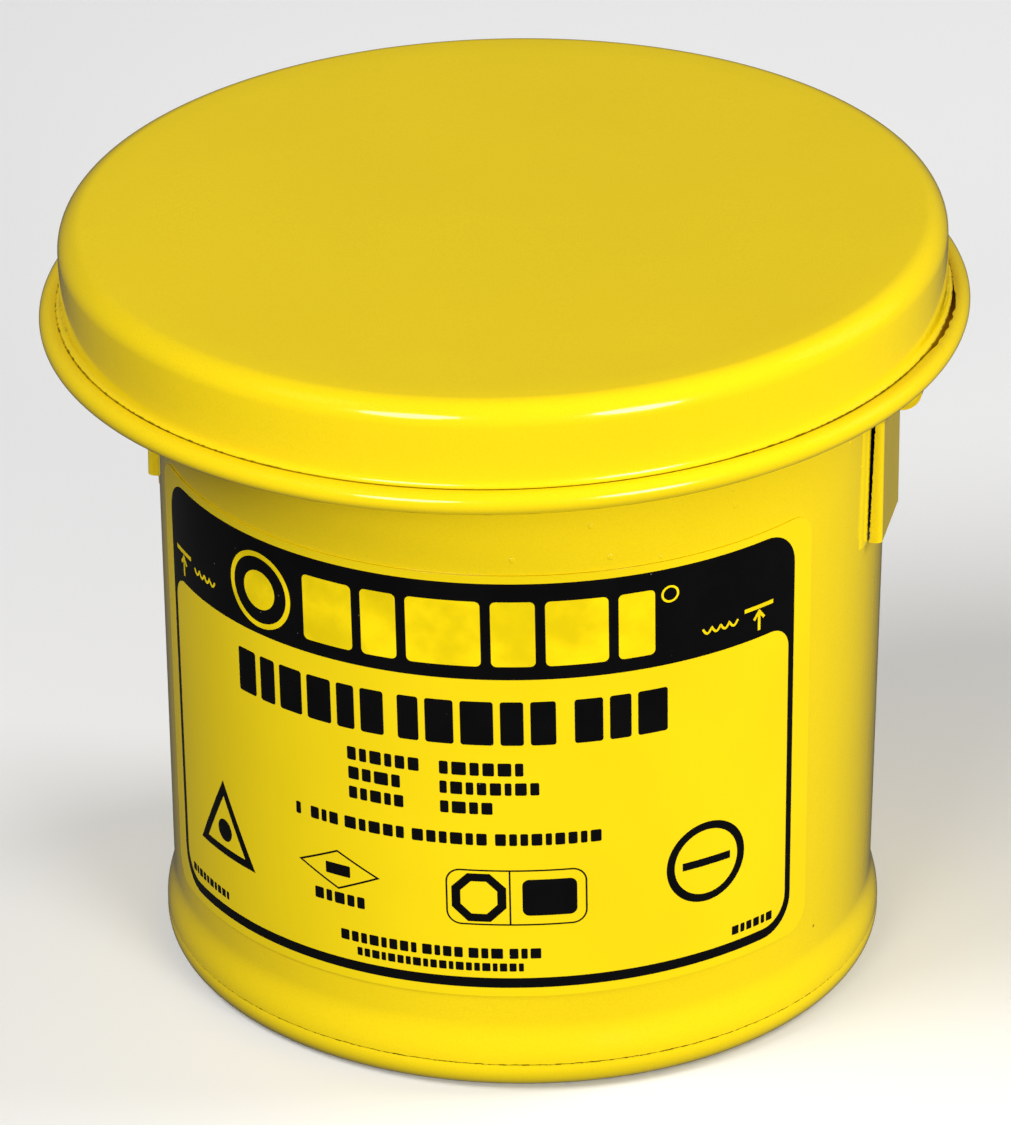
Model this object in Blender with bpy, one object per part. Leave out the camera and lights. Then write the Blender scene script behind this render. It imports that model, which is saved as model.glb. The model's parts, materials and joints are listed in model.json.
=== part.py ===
"""Safety bench can: a one-quart painted steel can with a hinged lid and a sprung, perforated dasher.

The label's middle faces -Y, the lid's hinge is on the +X side and +Z is up. The origin is on the bench,
under the middle of the lid's rim. The can's own axis stands CAN_X to the hinge side of it.
"""

import math

import bmesh
import bpy
from mathutils import Matrix

GAP = 0.0003  # clearance between pieces that touch
MERGE = 0.000001  # points nearer than this are one
TURN_STEPS = 48  # segments in a full turn of the large turned pieces
CUP_STEPS = 24
SMALL_STEPS = 16
STEP_ANGLE = 2 * math.pi / TURN_STEPS
ARC_STEP = math.radians(36)  # largest turn between two points of a bend in sheet
KNUCKLE_STEP = math.radians(24)
SHARP_ANGLE = math.radians(35)  # edges that turn more than this are shaded as edges

# Can body: a shell that widens a little towards its mouth.
CAN_X = 0.0030  # can axis, from the origin towards the hinge
BODY_RADIUS = 0.0620  # outside, at half height
BODY_MIDDLE_Z = 0.0620
BODY_FLARE = 0.0168  # growth of the radius per unit of height
BODY_SHEET = 0.0008
BODY_TOP_Z = 0.1240
FLARE_TOP_Z = 0.0130  # where the foot of the body starts to flare out over the base seam
FLARE_STEPS = 3
SEAM_Z = 0.0053
SEAM_RADIUS = 0.0625

# Base pan: a recessed floor with a rolled rim that the can stands on.
RIM_ROLL_RADIUS = 0.0041
RIM_ROLL_CENTRE = 0.0584
RIM_FOOT_WIDTH = 0.0014  # flat that rests on the bench
PAN_SHEET = 0.0008
PAN_FLOOR_Z = 0.0068  # upper side of the floor
PAN_BEND = 0.0010

# Mouth ring: a flared collar inside the top of the body, with a rolled lip that the lid rests on.
LIP_ROLL_RADIUS = 0.0018
LIP_CENTRE = 0.0661
LIP_TOP_Z = 0.1337
COLLAR_FOOT_Z = 0.1165
COLLAR_SHEET = 0.0008
COLLAR_BEND = 0.0030
COLLAR_FLARE_END = math.radians(125)  # where the bend over the body's edge runs into the lip
LIP_START = math.radians(160)
LIP_END = math.radians(-60)

# Lid: one hat-shaped stamping with its edge rolled up into a bead.
LID_TILT = math.radians(1.28)  # the hinge side sits this much higher than the free side
LID_SHEET = 0.0010
LID_SKIRT_RADIUS = 0.07567
LID_SHOULDER = 0.0040
LID_HEIGHT = 0.01645  # top, above the middle of the bead
LID_BEAD_Z = 0.12004
LID_BEAD_RADIUS = 0.00206
LID_BEAD_CENTRE = 0.07731
LID_BEAD_OPEN = math.radians(41)  # the bead's free edge stops this far short of a full roll

# Hinge and brackets: shallow channels that stand flange edges against the body.
BRACKET_WIDTH = 0.0192
BRACKET_FOOT_Z = 0.0842
BRACKET_SHEET = 0.0012
BRACKET_FACE = 0.06436  # outer face of the web, from the can axis
HINGE_Z = 0.1136
SIDE_BRACKET_TOP_Z = 0.1150
PIN_RADIUS = 0.0023
PIN_CLEARANCE = 0.00015
KNUCKLE_RADIUS = 0.0038
KNUCKLE_END = math.radians(-120)  # the bracket's knuckles start upright, at a half turn
STRAP_KNUCKLE_END = math.radians(-300)  # the strap's knuckle starts at no turn
STRAP_WIDTH = 0.0074
STRAP_TOP_Z = 0.1300
PIN_HEAD_RADIUS = 0.0032
PIN_HEAD = 0.0008

# Dasher: a perforated dish on a spring, held down by three stops on the wall.
DASHER_SHEET = 0.0008
DASHER_FLOOR_Z = 0.0983  # upper side of the perforated floor
DASHER_RADIUS = 0.0582
DASHER_WALL = 0.0050
DASHER_BEND = 0.0025
HOLE_RADIUS = 0.0024
HOLE_PITCH = 0.0120
HOLE_RINGS = 4
HOLE_SIDES = 8
RIM_WIRE_RADIUS = 0.0010
RIM_WIRE_SIDES = 8
STOP_COUNT = 3
STOP_START = math.radians(30)  # turn of the first stop from the hinge
STOP_WIDTH = 0.0100
STOP_HEIGHT = 0.0050
STOP_REACH = 0.0046
STOP_THICKNESS = 0.0010

# Spring with its two cups, and the rivet that holds the upper cup to the dasher.
CUP_RADIUS = 0.0195
CUP_WALL = 0.0050
CUP_SHEET = 0.0008
SPRING_RADIUS = 0.0162
SPRING_WIRE = 0.0011
SPRING_TURNS = 6.0
SPRING_STEPS = 20  # per turn
SPRING_SIDES = 6
RIVET_RADIUS = 0.0020
RIVET_HEAD_RADIUS = 0.0042
RIVET_HEAD = 0.0014
RIVET_TAIL_RADIUS = 0.0030
RIVET_TAIL_END = 0.0024  # radius at the tail's lower edge
WASHER_RADIUS = 0.0048
WASHER_THICKNESS = 0.0008

# Label: a printed film round the front of the body.
LABEL_HALF_ANGLE = math.radians(61.8)
LABEL_FOOT_Z = 0.0181
LABEL_TOP_Z = 0.0990
LABEL_TILT = math.radians(1.0)  # its hinge side is stuck on a little high
LABEL_GAP = 0.0001
LABEL_FILM = 0.0002

YELLOW = (0.86, 0.66, 0.03)
ZINC = (0.62, 0.63, 0.64)
STEEL = (0.55, 0.55, 0.56)
FILM = (0.03, 0.03, 0.032)


# ---------------------------------------------------------------- helpers


def clear_scene():
    for obj in list(bpy.data.objects):
        bpy.data.objects.remove(obj)


def material(name, colour, roughness, metallic=0.0):
    made = bpy.data.materials.new(name)
    made.use_nodes = True
    shader = made.node_tree.nodes["Principled BSDF"]
    shader.inputs["Base Color"].default_value = (*colour, 1.0)
    shader.inputs["Roughness"].default_value = roughness
    shader.inputs["Metallic"].default_value = metallic
    return made


def empty(name, place, turn_y=0.0):
    axis = bpy.data.objects.new(name, None)
    axis.location = place
    axis.rotation_euler = (0.0, turn_y, 0.0)
    bpy.context.scene.collection.objects.link(axis)
    return axis


def finish(name, bm, slot, parent, smooth=True):
    """Turns a bmesh into a named object that hangs on its parent empty."""
    bmesh.ops.remove_doubles(bm, verts=bm.verts, dist=MERGE)
    bmesh.ops.recalc_face_normals(bm, faces=bm.faces)
    mesh = bpy.data.meshes.new(name)
    bm.to_mesh(mesh)
    bm.free()
    obj = bpy.data.objects.new(name, mesh)
    bpy.context.scene.collection.objects.link(obj)
    obj.data.materials.append(slot)
    if smooth:
        mesh.shade_smooth()
        mesh.set_sharp_from_angle(angle=SHARP_ANGLE)
    obj.parent = parent
    return obj


def arc(centre, radius, start, end, step=ARC_STEP):
    """Points of an arc from one angle to another; radius is one number or the two half-axes of an ellipse."""
    across, up = radius if isinstance(radius, tuple) else (radius, radius)
    steps = max(2, math.ceil(abs(end - start) / step))
    angles = [start + (end - start) * i / steps for i in range(steps + 1)]
    return [(centre[0] + across * math.cos(a), centre[1] + up * math.sin(a)) for a in angles]


def sheet_outline(path, thickness):
    """Closed outline of a sheet: the path is one face, and the other lies thickness to its left."""
    other = []
    for i, (x, z) in enumerate(path):
        before, after = path[max(i - 1, 0)], path[min(i + 1, len(path) - 1)]
        sides = []
        for a, b in ((before, (x, z)), ((x, z), after)):
            length = math.hypot(b[0] - a[0], b[1] - a[1])
            if length > 0:
                sides.append((-(b[1] - a[1]) / length, (b[0] - a[0]) / length))
        nx, nz = sum(s[0] for s in sides), sum(s[1] for s in sides)
        scale = thickness * len(sides) / (nx * nx + nz * nz)
        other.append((x + nx * scale, z + nz * scale))
    return list(path) + other[::-1]


def turned(name, outline, slot, parent, steps=TURN_STEPS):
    """Solid of revolution about Z from an outline of (radius, height) points."""
    bm = bmesh.new()
    verts = [bm.verts.new((max(r, 0.0), 0.0, z)) for r, z in outline]
    pairs = zip(verts, verts[1:] + verts[:1])
    on_axis = {v for v, (r, _) in zip(verts, outline) if r <= 0.0}
    edges = [bm.edges.new(pair) for pair in pairs if not set(pair) <= on_axis]
    bmesh.ops.spin(
        bm, geom=verts + edges, cent=(0, 0, 0), axis=(0, 0, 1), angle=2 * math.pi, steps=steps
    )
    return finish(name, bm, slot, parent)


def extruded(name, outline, low_y, high_y, slot, parent, smooth=True):
    """Solid with an (x, z) outline, from low_y to high_y."""
    bm = bmesh.new()
    face = bm.faces.new([bm.verts.new((x, low_y, z)) for x, z in outline])
    moved = bmesh.ops.extrude_face_region(bm, geom=[face])["geom"]
    bmesh.ops.translate(
        bm, verts=[v for v in moved if isinstance(v, bmesh.types.BMVert)], vec=(0, high_y - low_y, 0)
    )
    return finish(name, bm, slot, parent, smooth)


def box(name, low, high, slot, parent):
    bm = bmesh.new()
    size = [h - l for l, h in zip(low, high)]
    middle = [(h + l) / 2 for l, h in zip(low, high)]
    bmesh.ops.create_cube(bm, size=1.0, matrix=Matrix.Translation(middle) @ Matrix.Diagonal((*size, 1)))
    return finish(name, bm, slot, parent, smooth=False)


def boolean(obj, helper, operation):
    """Adds or cuts a helper, which stays out of the finished object."""
    helper.hide_render = True
    helper.display_type = "WIRE"
    cut = obj.modifiers.new(helper.name, "BOOLEAN")
    cut.object = helper
    cut.operation = operation
    cut.solver = "EXACT"


def body_radius(z):
    return BODY_RADIUS * (1 + BODY_FLARE * (z / BODY_MIDDLE_Z - 1))


# ---------------------------------------------------------------- can


def make_body_shell(slot, can):
    """The wall, with its foot flared out over the base seam."""
    outer = [
        (body_radius(BODY_TOP_Z), BODY_TOP_Z),
        (body_radius(BODY_MIDDLE_Z), BODY_MIDDLE_Z),
        (body_radius(FLARE_TOP_Z), FLARE_TOP_Z),
    ]
    rise = FLARE_TOP_Z - SEAM_Z
    for i in range(FLARE_STEPS):
        part = (i + 1) / FLARE_STEPS
        swell = math.sin(part * math.pi / 2)
        z = FLARE_TOP_Z - rise * part
        outer.append((body_radius(z) + (SEAM_RADIUS - body_radius(SEAM_Z)) * swell, z + GAP))
    return turned("body_shell", sheet_outline(outer[::-1], BODY_SHEET), slot, can)


def make_base_pan(slot, can):
    """Floor, inner wall of the rim, flat foot and the roll up to the base seam."""
    under = PAN_FLOOR_Z - PAN_SHEET
    wall = RIM_ROLL_CENTRE - RIM_FOOT_WIDTH - PAN_BEND
    roll = (RIM_ROLL_CENTRE, RIM_ROLL_RADIUS)
    seam_angle = math.asin((SEAM_Z - GAP - RIM_ROLL_RADIUS) / RIM_ROLL_RADIUS)
    path = arc(roll, RIM_ROLL_RADIUS, seam_angle, -math.pi / 2)
    path += arc((wall + PAN_BEND, PAN_BEND), PAN_BEND, -math.pi / 2, -math.pi)
    path += arc((wall - PAN_BEND, under - PAN_BEND), PAN_BEND, 0, math.pi / 2)
    path.append((0.0, under))
    outline = sheet_outline(path[::-1], PAN_SHEET)
    return turned("base_pan", outline, slot, can)


def make_mouth_ring(slot, can):
    """Collar inside the top of the body that flares out to a rolled lip."""
    inside = body_radius(BODY_TOP_Z) - BODY_SHEET - GAP
    foot = body_radius(COLLAR_FOOT_Z) - BODY_SHEET - GAP
    lip = (LIP_CENTRE, LIP_TOP_Z - LIP_ROLL_RADIUS)
    bend_z = BODY_TOP_Z + GAP
    flare = (inside + COLLAR_BEND, bend_z)
    path = [(foot, COLLAR_FOOT_Z), (inside, BODY_TOP_Z)]
    path += arc(flare, COLLAR_BEND, math.pi, COLLAR_FLARE_END)
    roll = arc(lip, LIP_ROLL_RADIUS - COLLAR_SHEET, LIP_START, LIP_END)
    return turned("mouth_ring", sheet_outline(path + roll, COLLAR_SHEET), slot, can)


def make_label(slot, can):
    """Printed film that follows the wall."""
    whole_steps = int(LABEL_HALF_ANGLE / STEP_ANGLE)
    angles = [i * STEP_ANGLE for i in range(-whole_steps, whole_steps + 1)]
    angles = [-LABEL_HALF_ANGLE] + angles + [LABEL_HALF_ANGLE]
    bm = bmesh.new()
    rings = []
    for angle in angles:
        ring = []
        lift = BODY_RADIUS * math.sin(angle) * math.tan(LABEL_TILT)
        for z, out in ((LABEL_FOOT_Z, 0), (LABEL_FOOT_Z, 1), (LABEL_TOP_Z, 1), (LABEL_TOP_Z, 0)):
            r = body_radius(z + lift) + LABEL_GAP + out * LABEL_FILM
            ring.append(bm.verts.new((r * math.sin(angle), -r * math.cos(angle), z + lift)))
        rings.append(ring)
    for first, second in zip(rings, rings[1:]):
        for i in range(4):
            j = (i + 1) % 4
            bm.faces.new((first[i], first[j], second[j], second[i]))
    bm.faces.new(rings[0])
    bm.faces.new(rings[-1])
    return finish("label", bm, slot, can)


# ---------------------------------------------------------------- brackets and hinge


def channel(name, top_z, slot, can):
    """A web with its two upright edges turned back onto the body."""
    half = BRACKET_WIDTH / 2
    back = BRACKET_FACE - BRACKET_SHEET
    reach = math.sqrt((body_radius(top_z) + GAP) ** 2 - (half - BRACKET_SHEET) ** 2)
    web = box(name, (back, -half, BRACKET_FOOT_Z), (BRACKET_FACE, half, top_z), slot, can)
    for side in (-1, 1):
        inner, outer = sorted((side * half, side * (half - BRACKET_SHEET)))
        low = (reach, inner, BRACKET_FOOT_Z)
        high = (BRACKET_FACE - BRACKET_SHEET / 2, outer, top_z)
        boolean(web, box(f"{name}_flange_{side}", low, high, slot, can), "UNION")
    return web


def hinge_centre():
    """Distance of the pin from the can axis: the web's back carries on as the knuckles' outside."""
    return BRACKET_FACE - BRACKET_SHEET + KNUCKLE_RADIUS


def make_side_bracket(slot, can):
    bracket = channel("side_bracket", SIDE_BRACKET_TOP_Z, slot, can)
    bracket.rotation_euler.z = math.pi
    for cut in bracket.modifiers:
        cut.object.rotation_euler.z = math.pi
    return bracket


def knuckle_outline(centre, start, end, tail):
    """Sheet rolled round the pin, with a straight tail from its start."""
    bore = PIN_RADIUS + PIN_CLEARANCE
    outside = arc(centre, KNUCKLE_RADIUS, start, end, KNUCKLE_STEP)
    inside = arc(centre, bore, end, start, KNUCKLE_STEP)
    return [tail[0]] + outside + inside + [tail[1]]


def make_hinge_bracket(slot, can):
    """The channel on the hinge side: its web runs up into two knuckles with the strap's between them."""
    bracket = channel("hinge_bracket", HINGE_Z - KNUCKLE_RADIUS, slot, can)
    centre = (hinge_centre(), HINGE_Z)
    low = HINGE_Z - KNUCKLE_RADIUS - 2 * BRACKET_SHEET
    back, bore_side = centre[0] - KNUCKLE_RADIUS, centre[0] - PIN_RADIUS - PIN_CLEARANCE
    tail = ((back, low), (bore_side, low))
    outline = knuckle_outline(centre, math.pi, KNUCKLE_END, tail)
    half = BRACKET_WIDTH / 2
    slot_half = STRAP_WIDTH / 2 + GAP
    for side in (-1, 1):
        near, far = sorted((side * half, side * slot_half))
        knuckle = extruded(f"knuckle_{side}", outline, near, far, slot, can)
        boolean(bracket, knuckle, "UNION")
    return bracket


def make_hinge_pin(slot, can):
    """A pin along Y with a formed head at each end."""
    half = BRACKET_WIDTH / 2 + GAP
    outline = [(0.0, -half - PIN_HEAD), (PIN_HEAD_RADIUS, -half - PIN_HEAD), (PIN_HEAD_RADIUS, -half)]
    outline += [(PIN_RADIUS, -half), (PIN_RADIUS, half)]
    outline += [(PIN_HEAD_RADIUS, half), (PIN_HEAD_RADIUS, half + PIN_HEAD), (0.0, half + PIN_HEAD)]
    pin = turned("hinge_pin", outline, slot, can, SMALL_STEPS)
    pin.location = (hinge_centre(), 0, HINGE_Z)
    pin.rotation_euler.x = math.pi / 2
    return pin


# ---------------------------------------------------------------- lid


def make_lid_shell(slot, lid):
    """Hat-shaped stamping, modelled about its own axis from the middle of the bead."""
    inner_radius = LID_SKIRT_RADIUS - LID_SHEET
    inner_top = LID_HEIGHT - LID_SHEET
    inner_bend = LID_SHOULDER - LID_SHEET
    shoulder = (inner_radius - inner_bend, inner_top - inner_bend)
    path = [(0.0, inner_top)]
    path += arc(shoulder, inner_bend, math.pi / 2, 0)
    bead = (LID_BEAD_CENTRE, 0.0)
    inward = (LID_BEAD_CENTRE - inner_radius, LID_BEAD_RADIUS)
    path += arc(bead, inward, math.pi, 1.5 * math.pi)
    path += arc(bead, LID_BEAD_RADIUS, -math.pi / 2, math.pi - LID_BEAD_OPEN)[1:]
    return turned("lid_shell", sheet_outline(path, LID_SHEET), slot, lid)


def make_lid_strap(slot, hinge):
    """Strip welded inside the skirt, rolled round the pin at its foot; modelled from the pin."""
    bore = PIN_RADIUS + PIN_CLEARANCE
    height = STRAP_TOP_Z - HINGE_Z
    tail = ((KNUCKLE_RADIUS, height), (bore, height))
    outline = knuckle_outline((0, 0), 0.0, STRAP_KNUCKLE_END, tail)
    return extruded("lid_strap", outline, -STRAP_WIDTH / 2, STRAP_WIDTH / 2, slot, hinge)


# ---------------------------------------------------------------- dasher and spring


def hole_places():
    """Middles of the holes, on a triangular grid, without the one in the centre."""
    row_pitch = HOLE_PITCH * math.sqrt(3) / 2
    for row in range(-HOLE_RINGS, HOLE_RINGS + 1):
        count = 2 * HOLE_RINGS + 1 - abs(row)
        for i in range(count):
            x, y = (i - (count - 1) / 2) * HOLE_PITCH, row * row_pitch
            if math.hypot(x, y) > HOLE_PITCH / 2:
                yield x, y


def make_dasher_plate(slot, dasher):
    """Perforated dish with an upright wall, modelled from the top of its floor."""
    bend_centre = (DASHER_RADIUS - DASHER_BEND, DASHER_BEND - DASHER_SHEET)
    path = [(RIVET_RADIUS + GAP, -DASHER_SHEET)]
    path += arc(bend_centre, DASHER_BEND, -math.pi / 2, 0)
    path.append((DASHER_RADIUS, DASHER_WALL))
    plate = turned("dasher_plate", sheet_outline(path, DASHER_SHEET), slot, dasher)
    bm = bmesh.new()
    for x, y in hole_places():
        bmesh.ops.create_cone(
            bm, cap_ends=True, segments=HOLE_SIDES, radius1=HOLE_RADIUS, radius2=HOLE_RADIUS,
            depth=4 * DASHER_SHEET, matrix=Matrix.Translation((x, y, -DASHER_SHEET / 2)),
        )
    boolean(plate, finish("dasher_holes", bm, slot, dasher), "DIFFERENCE")
    return plate


def make_dasher_rim(slot, dasher):
    """Wire ring that closes the dish's edge."""
    centre = (DASHER_RADIUS - DASHER_SHEET / 2, DASHER_WALL + GAP + RIM_WIRE_RADIUS)
    side = 2 * math.pi / RIM_WIRE_SIDES
    return turned("dasher_rim", arc(centre, RIM_WIRE_RADIUS, 0, 2 * math.pi - side, side), slot, dasher)


def make_stops(slot, can):
    """Small plates on the wall that the dasher's rim comes up against."""
    foot = DASHER_FLOOR_Z + DASHER_WALL + 2 * RIM_WIRE_RADIUS + 2 * GAP
    half = STOP_WIDTH / 2
    wall = body_radius(foot) - BODY_SHEET - GAP
    outer = math.sqrt(wall ** 2 - half ** 2)
    low, high = outer - STOP_REACH, outer
    outline = [(low, foot), (high, foot), (high, foot + STOP_HEIGHT)]
    outline += [(high - STOP_THICKNESS, foot + STOP_HEIGHT), (high - STOP_THICKNESS, foot + STOP_THICKNESS)]
    outline += [(low, foot + STOP_THICKNESS)]
    for i in range(STOP_COUNT):
        stop = extruded(f"dasher_stop_{i + 1}", outline, -half, half, slot, can, smooth=False)
        stop.rotation_euler.z = STOP_START + i * 2 * math.pi / STOP_COUNT


def cup_outline():
    """Shallow cup, from the outside of its floor, open upwards."""
    bend_centre = (CUP_RADIUS - DASHER_BEND, DASHER_BEND)
    path = [(RIVET_RADIUS + GAP, 0.0)]
    path += arc(bend_centre, DASHER_BEND, -math.pi / 2, 0)
    path.append((CUP_RADIUS, CUP_WALL))
    return sheet_outline(path, CUP_SHEET)


def make_spring_seat(slot, can):
    seat = turned("spring_seat", cup_outline(), slot, can, CUP_STEPS)
    seat.location.z = PAN_FLOOR_Z + GAP
    return seat


def make_spring_cap(slot, dasher):
    flipped = [(r, -z) for r, z in cup_outline()]
    cap = turned("spring_cap", flipped, slot, dasher, CUP_STEPS)
    cap.location.z = -DASHER_SHEET - GAP
    return cap


def make_rivet(slot, dasher):
    """Rivet through the dish and the cap, with its head on top and its tail under a washer."""
    cap_under = DASHER_SHEET + GAP + CUP_SHEET
    washer_under = cap_under + GAP + WASHER_THICKNESS
    head = arc((0.0, GAP), (RIVET_HEAD_RADIUS, RIVET_HEAD), math.pi / 2, 0)
    outline = head + [(RIVET_RADIUS, GAP), (RIVET_RADIUS, -washer_under - GAP)]
    outline += [(RIVET_TAIL_RADIUS, -washer_under - GAP), (RIVET_TAIL_END, -washer_under - RIVET_HEAD)]
    outline.append((0.0, -washer_under - RIVET_HEAD))
    turned("dasher_rivet", outline, slot, dasher, SMALL_STEPS)
    hole = RIVET_RADIUS + GAP
    top = -cap_under - GAP
    ring = [(hole, -washer_under), (WASHER_RADIUS, -washer_under), (WASHER_RADIUS, top), (hole, top)]
    turned("rivet_washer", ring, slot, dasher, SMALL_STEPS)


def spring_ends():
    """Heights of the coil's two end centres."""
    foot = PAN_FLOOR_Z + GAP + CUP_SHEET + GAP + SPRING_WIRE
    top = DASHER_FLOOR_Z - DASHER_SHEET - GAP - CUP_SHEET - GAP - SPRING_WIRE
    return foot, top


def make_spring(slot, can):
    """Round wire along a helix whose end turns lie nearly flat."""
    foot, top = spring_ends()
    steps = int(SPRING_TURNS * SPRING_STEPS)
    bm = bmesh.new()
    rings = []
    for i in range(steps + 1):
        part = i / steps
        angle = part * SPRING_TURNS * 2 * math.pi
        height = foot + (top - foot) * (part - math.sin(2 * math.pi * part) / (2 * math.pi))
        ring = []
        for k in range(SPRING_SIDES):
            around = k * 2 * math.pi / SPRING_SIDES
            r = SPRING_RADIUS + SPRING_WIRE * math.cos(around)
            place = (r * math.cos(angle), r * math.sin(angle), height + SPRING_WIRE * math.sin(around))
            ring.append(bm.verts.new(place))
        rings.append(ring)
    for first, second in zip(rings, rings[1:]):
        for k in range(SPRING_SIDES):
            j = (k + 1) % SPRING_SIDES
            bm.faces.new((first[k], first[j], second[j], second[k]))
    bm.faces.new(rings[0])
    bm.faces.new(rings[-1])
    return finish("dasher_spring", bm, slot, can)


# ---------------------------------------------------------------- assembly


def main():
    clear_scene()
    paint = material("yellow_paint", YELLOW, 0.25)
    inside_paint = material("inside_paint", YELLOW, 0.30)
    zinc = material("zinc_plate", ZINC, 0.38, 1.0)
    spring_steel = material("spring_steel", STEEL, 0.30, 1.0)
    film = material("label_film", FILM, 0.30)

    can = empty("can_axis", (CAN_X, 0, 0))
    dasher = empty("dasher_axis", (CAN_X, 0, DASHER_FLOOR_Z))
    lid = empty("lid_axis", (0, 0, LID_BEAD_Z), -LID_TILT)
    hinge = empty("hinge_axis", (CAN_X + hinge_centre(), 0, HINGE_Z), -LID_TILT)

    make_body_shell(paint, can)
    make_base_pan(paint, can)
    make_mouth_ring(inside_paint, can)
    make_label(film, can)
    make_hinge_bracket(paint, can)
    make_side_bracket(paint, can)
    make_hinge_pin(zinc, can)
    make_stops(inside_paint, can)
    make_spring_seat(zinc, can)
    make_spring(spring_steel, can)

    make_lid_shell(paint, lid)
    make_lid_strap(paint, hinge)

    make_dasher_plate(zinc, dasher)
    make_dasher_rim(zinc, dasher)
    make_spring_cap(zinc, dasher)
    make_rivet(zinc, dasher)


main()
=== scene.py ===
"""Looks of the safety bench can: a painted one-quart steel can with a hinged lid and a sprung dasher.

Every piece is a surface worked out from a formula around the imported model, in its frame: metres, +Z up,
the label facing -Y and the lid's hinge on the +X side. Run as a script, it makes the whole scene.
"""

import json
import math

import bmesh
import bpy
import numpy as np
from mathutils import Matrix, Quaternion, Vector


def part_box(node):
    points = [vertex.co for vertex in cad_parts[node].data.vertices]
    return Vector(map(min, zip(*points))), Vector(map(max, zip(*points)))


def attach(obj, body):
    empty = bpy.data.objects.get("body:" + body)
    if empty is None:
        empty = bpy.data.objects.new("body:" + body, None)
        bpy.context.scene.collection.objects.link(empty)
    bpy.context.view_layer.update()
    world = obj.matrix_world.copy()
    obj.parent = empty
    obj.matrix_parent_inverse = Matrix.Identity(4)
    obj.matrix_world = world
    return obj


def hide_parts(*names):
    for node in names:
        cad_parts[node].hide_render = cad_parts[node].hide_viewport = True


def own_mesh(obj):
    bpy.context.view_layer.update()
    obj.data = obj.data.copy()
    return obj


bl_info = {
    "name": "Safety bench can",
    "version": (1, 0, 0),
    "blender": (4, 5, 0),
    "location": "View3D > Sidebar > Bench can",
    "description": "Builds the pieces, finishes and studio of a safety bench can",
    "category": "Object",
}

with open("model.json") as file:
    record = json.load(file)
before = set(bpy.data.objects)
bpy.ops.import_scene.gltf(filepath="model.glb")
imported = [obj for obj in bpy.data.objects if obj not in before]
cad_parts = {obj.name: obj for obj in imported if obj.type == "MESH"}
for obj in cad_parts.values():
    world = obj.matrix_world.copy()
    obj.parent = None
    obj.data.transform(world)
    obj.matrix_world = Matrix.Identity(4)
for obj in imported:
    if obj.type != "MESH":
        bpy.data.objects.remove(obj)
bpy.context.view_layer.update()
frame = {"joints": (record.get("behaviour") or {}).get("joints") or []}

MM = 0.001
MERGE = 2e-7  # points nearer than this are one
BEND_STEP = math.radians(7)  # largest turn between two points of a bend
ROUND_STEPS = 360  # segments in a full turn of the large turned pieces
SEAM_STEPS = 600  # the same for a piece with an uneven painted seam
CUP_STEPS = 120
SMALL_STEPS = 48
LONGEST = 4.5 * MM  # longest straight step along a profile
SHARP_ANGLE = math.radians(40)
COAT_ROUGHNESS = 0.03

# Can wall and base pan.
WALL_LOW, WALL_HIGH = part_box("body_shell")
CAN_X = (WALL_LOW.x + WALL_HIGH.x) / 2
WALL_TOP = WALL_HIGH.z
WALL_RADIUS = 62 * MM  # outside, at half height
WALL_MIDDLE = 62 * MM
WALL_FLARE = 0.0168  # growth of the radius per unit of height
SHEET = 0.8 * MM
GAP = 0.3 * MM
FLARE_TOP = 13 * MM
SEAM_Z = 5.3 * MM
SEAM_RADIUS = 62.5 * MM
ROLL_RADIUS = 4.1 * MM
ROLL_CENTRE = 58.4 * MM
FOOT_WIDTH = 1.4 * MM
PAN_FLOOR = 6.8 * MM
PAN_BEND = 1.0 * MM

# Mouth ring.
LIP_RADIUS = 1.8 * MM
LIP_CENTRE = 66.1 * MM
LIP_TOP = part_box("mouth_ring")[1].z
COLLAR_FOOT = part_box("mouth_ring")[0].z
COLLAR_BEND = 3.0 * MM

# Lid: heights are from the middle of the bead.
LID_TILT = math.radians(1.28)
LID_ASKEW = math.radians(12)  # from the hinge's side round to where the tilted lid is highest
LID_X = CAN_X - CAN_X * math.cos(LID_ASKEW)
LID_Y = -CAN_X * math.sin(LID_ASKEW)
LID_SHEET = 1.0 * MM
LID_SKIRT = 75.67 * MM
LID_SHOULDER = 4.0 * MM
LID_HEIGHT = 16.45 * MM
BEAD_Z = 120.04 * MM
BEAD_RADIUS = 2.06 * MM
BEAD_CENTRE = 77.31 * MM
BEAD_END = math.radians(117)
SEAM_OPEN = math.radians(77)  # where the bead's seam stands open, round the lid
SEAM_OPEN_WIDTH = math.radians(10)
LEDGE_REACH = 0.68 * MM
LEDGE_TOP = 3.4 * MM
LEDGE_FOOT = 2.02 * MM
SEAM_OUT = LID_SKIRT + 0.72 * MM  # the crevice between skirt and bead, from the lid's axis
SEAM_UP = 1.92 * MM

# Brackets and hinge: distances are from the can's axis.
BRACKET_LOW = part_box("hinge_bracket")[0].z
BRACKET_WIDTH = 17.8 * MM
BRACKET_FACE = 64.36 * MM
BRACKET_SHEET = 1.2 * MM
BRACKET_BEND = 0.5 * MM
WEB_TOP = 109.8 * MM
CHANNEL_SHADE_HALF = BRACKET_WIDTH / 2 - 0.12 * MM  # painted shade: the wall inside the brackets' channels is painted near black out to this half width
CHANNEL_SHADE_OUT = BRACKET_FACE - BRACKET_SHEET + 0.02 * MM
SIDE_BRACKET_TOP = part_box("side_bracket")[1].z
HINGE_Z = 113.6 * MM
KNUCKLE_RADIUS = 3.8 * MM
HINGE_X = BRACKET_FACE - BRACKET_SHEET + KNUCKLE_RADIUS
PIN_RADIUS = 2.3 * MM
BORE_RADIUS = 2.45 * MM
PIN_HEAD_RADIUS = 3.2 * MM
PIN_HEAD = 0.8 * MM
STRIP_WIDTH = 3.4 * MM
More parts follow.
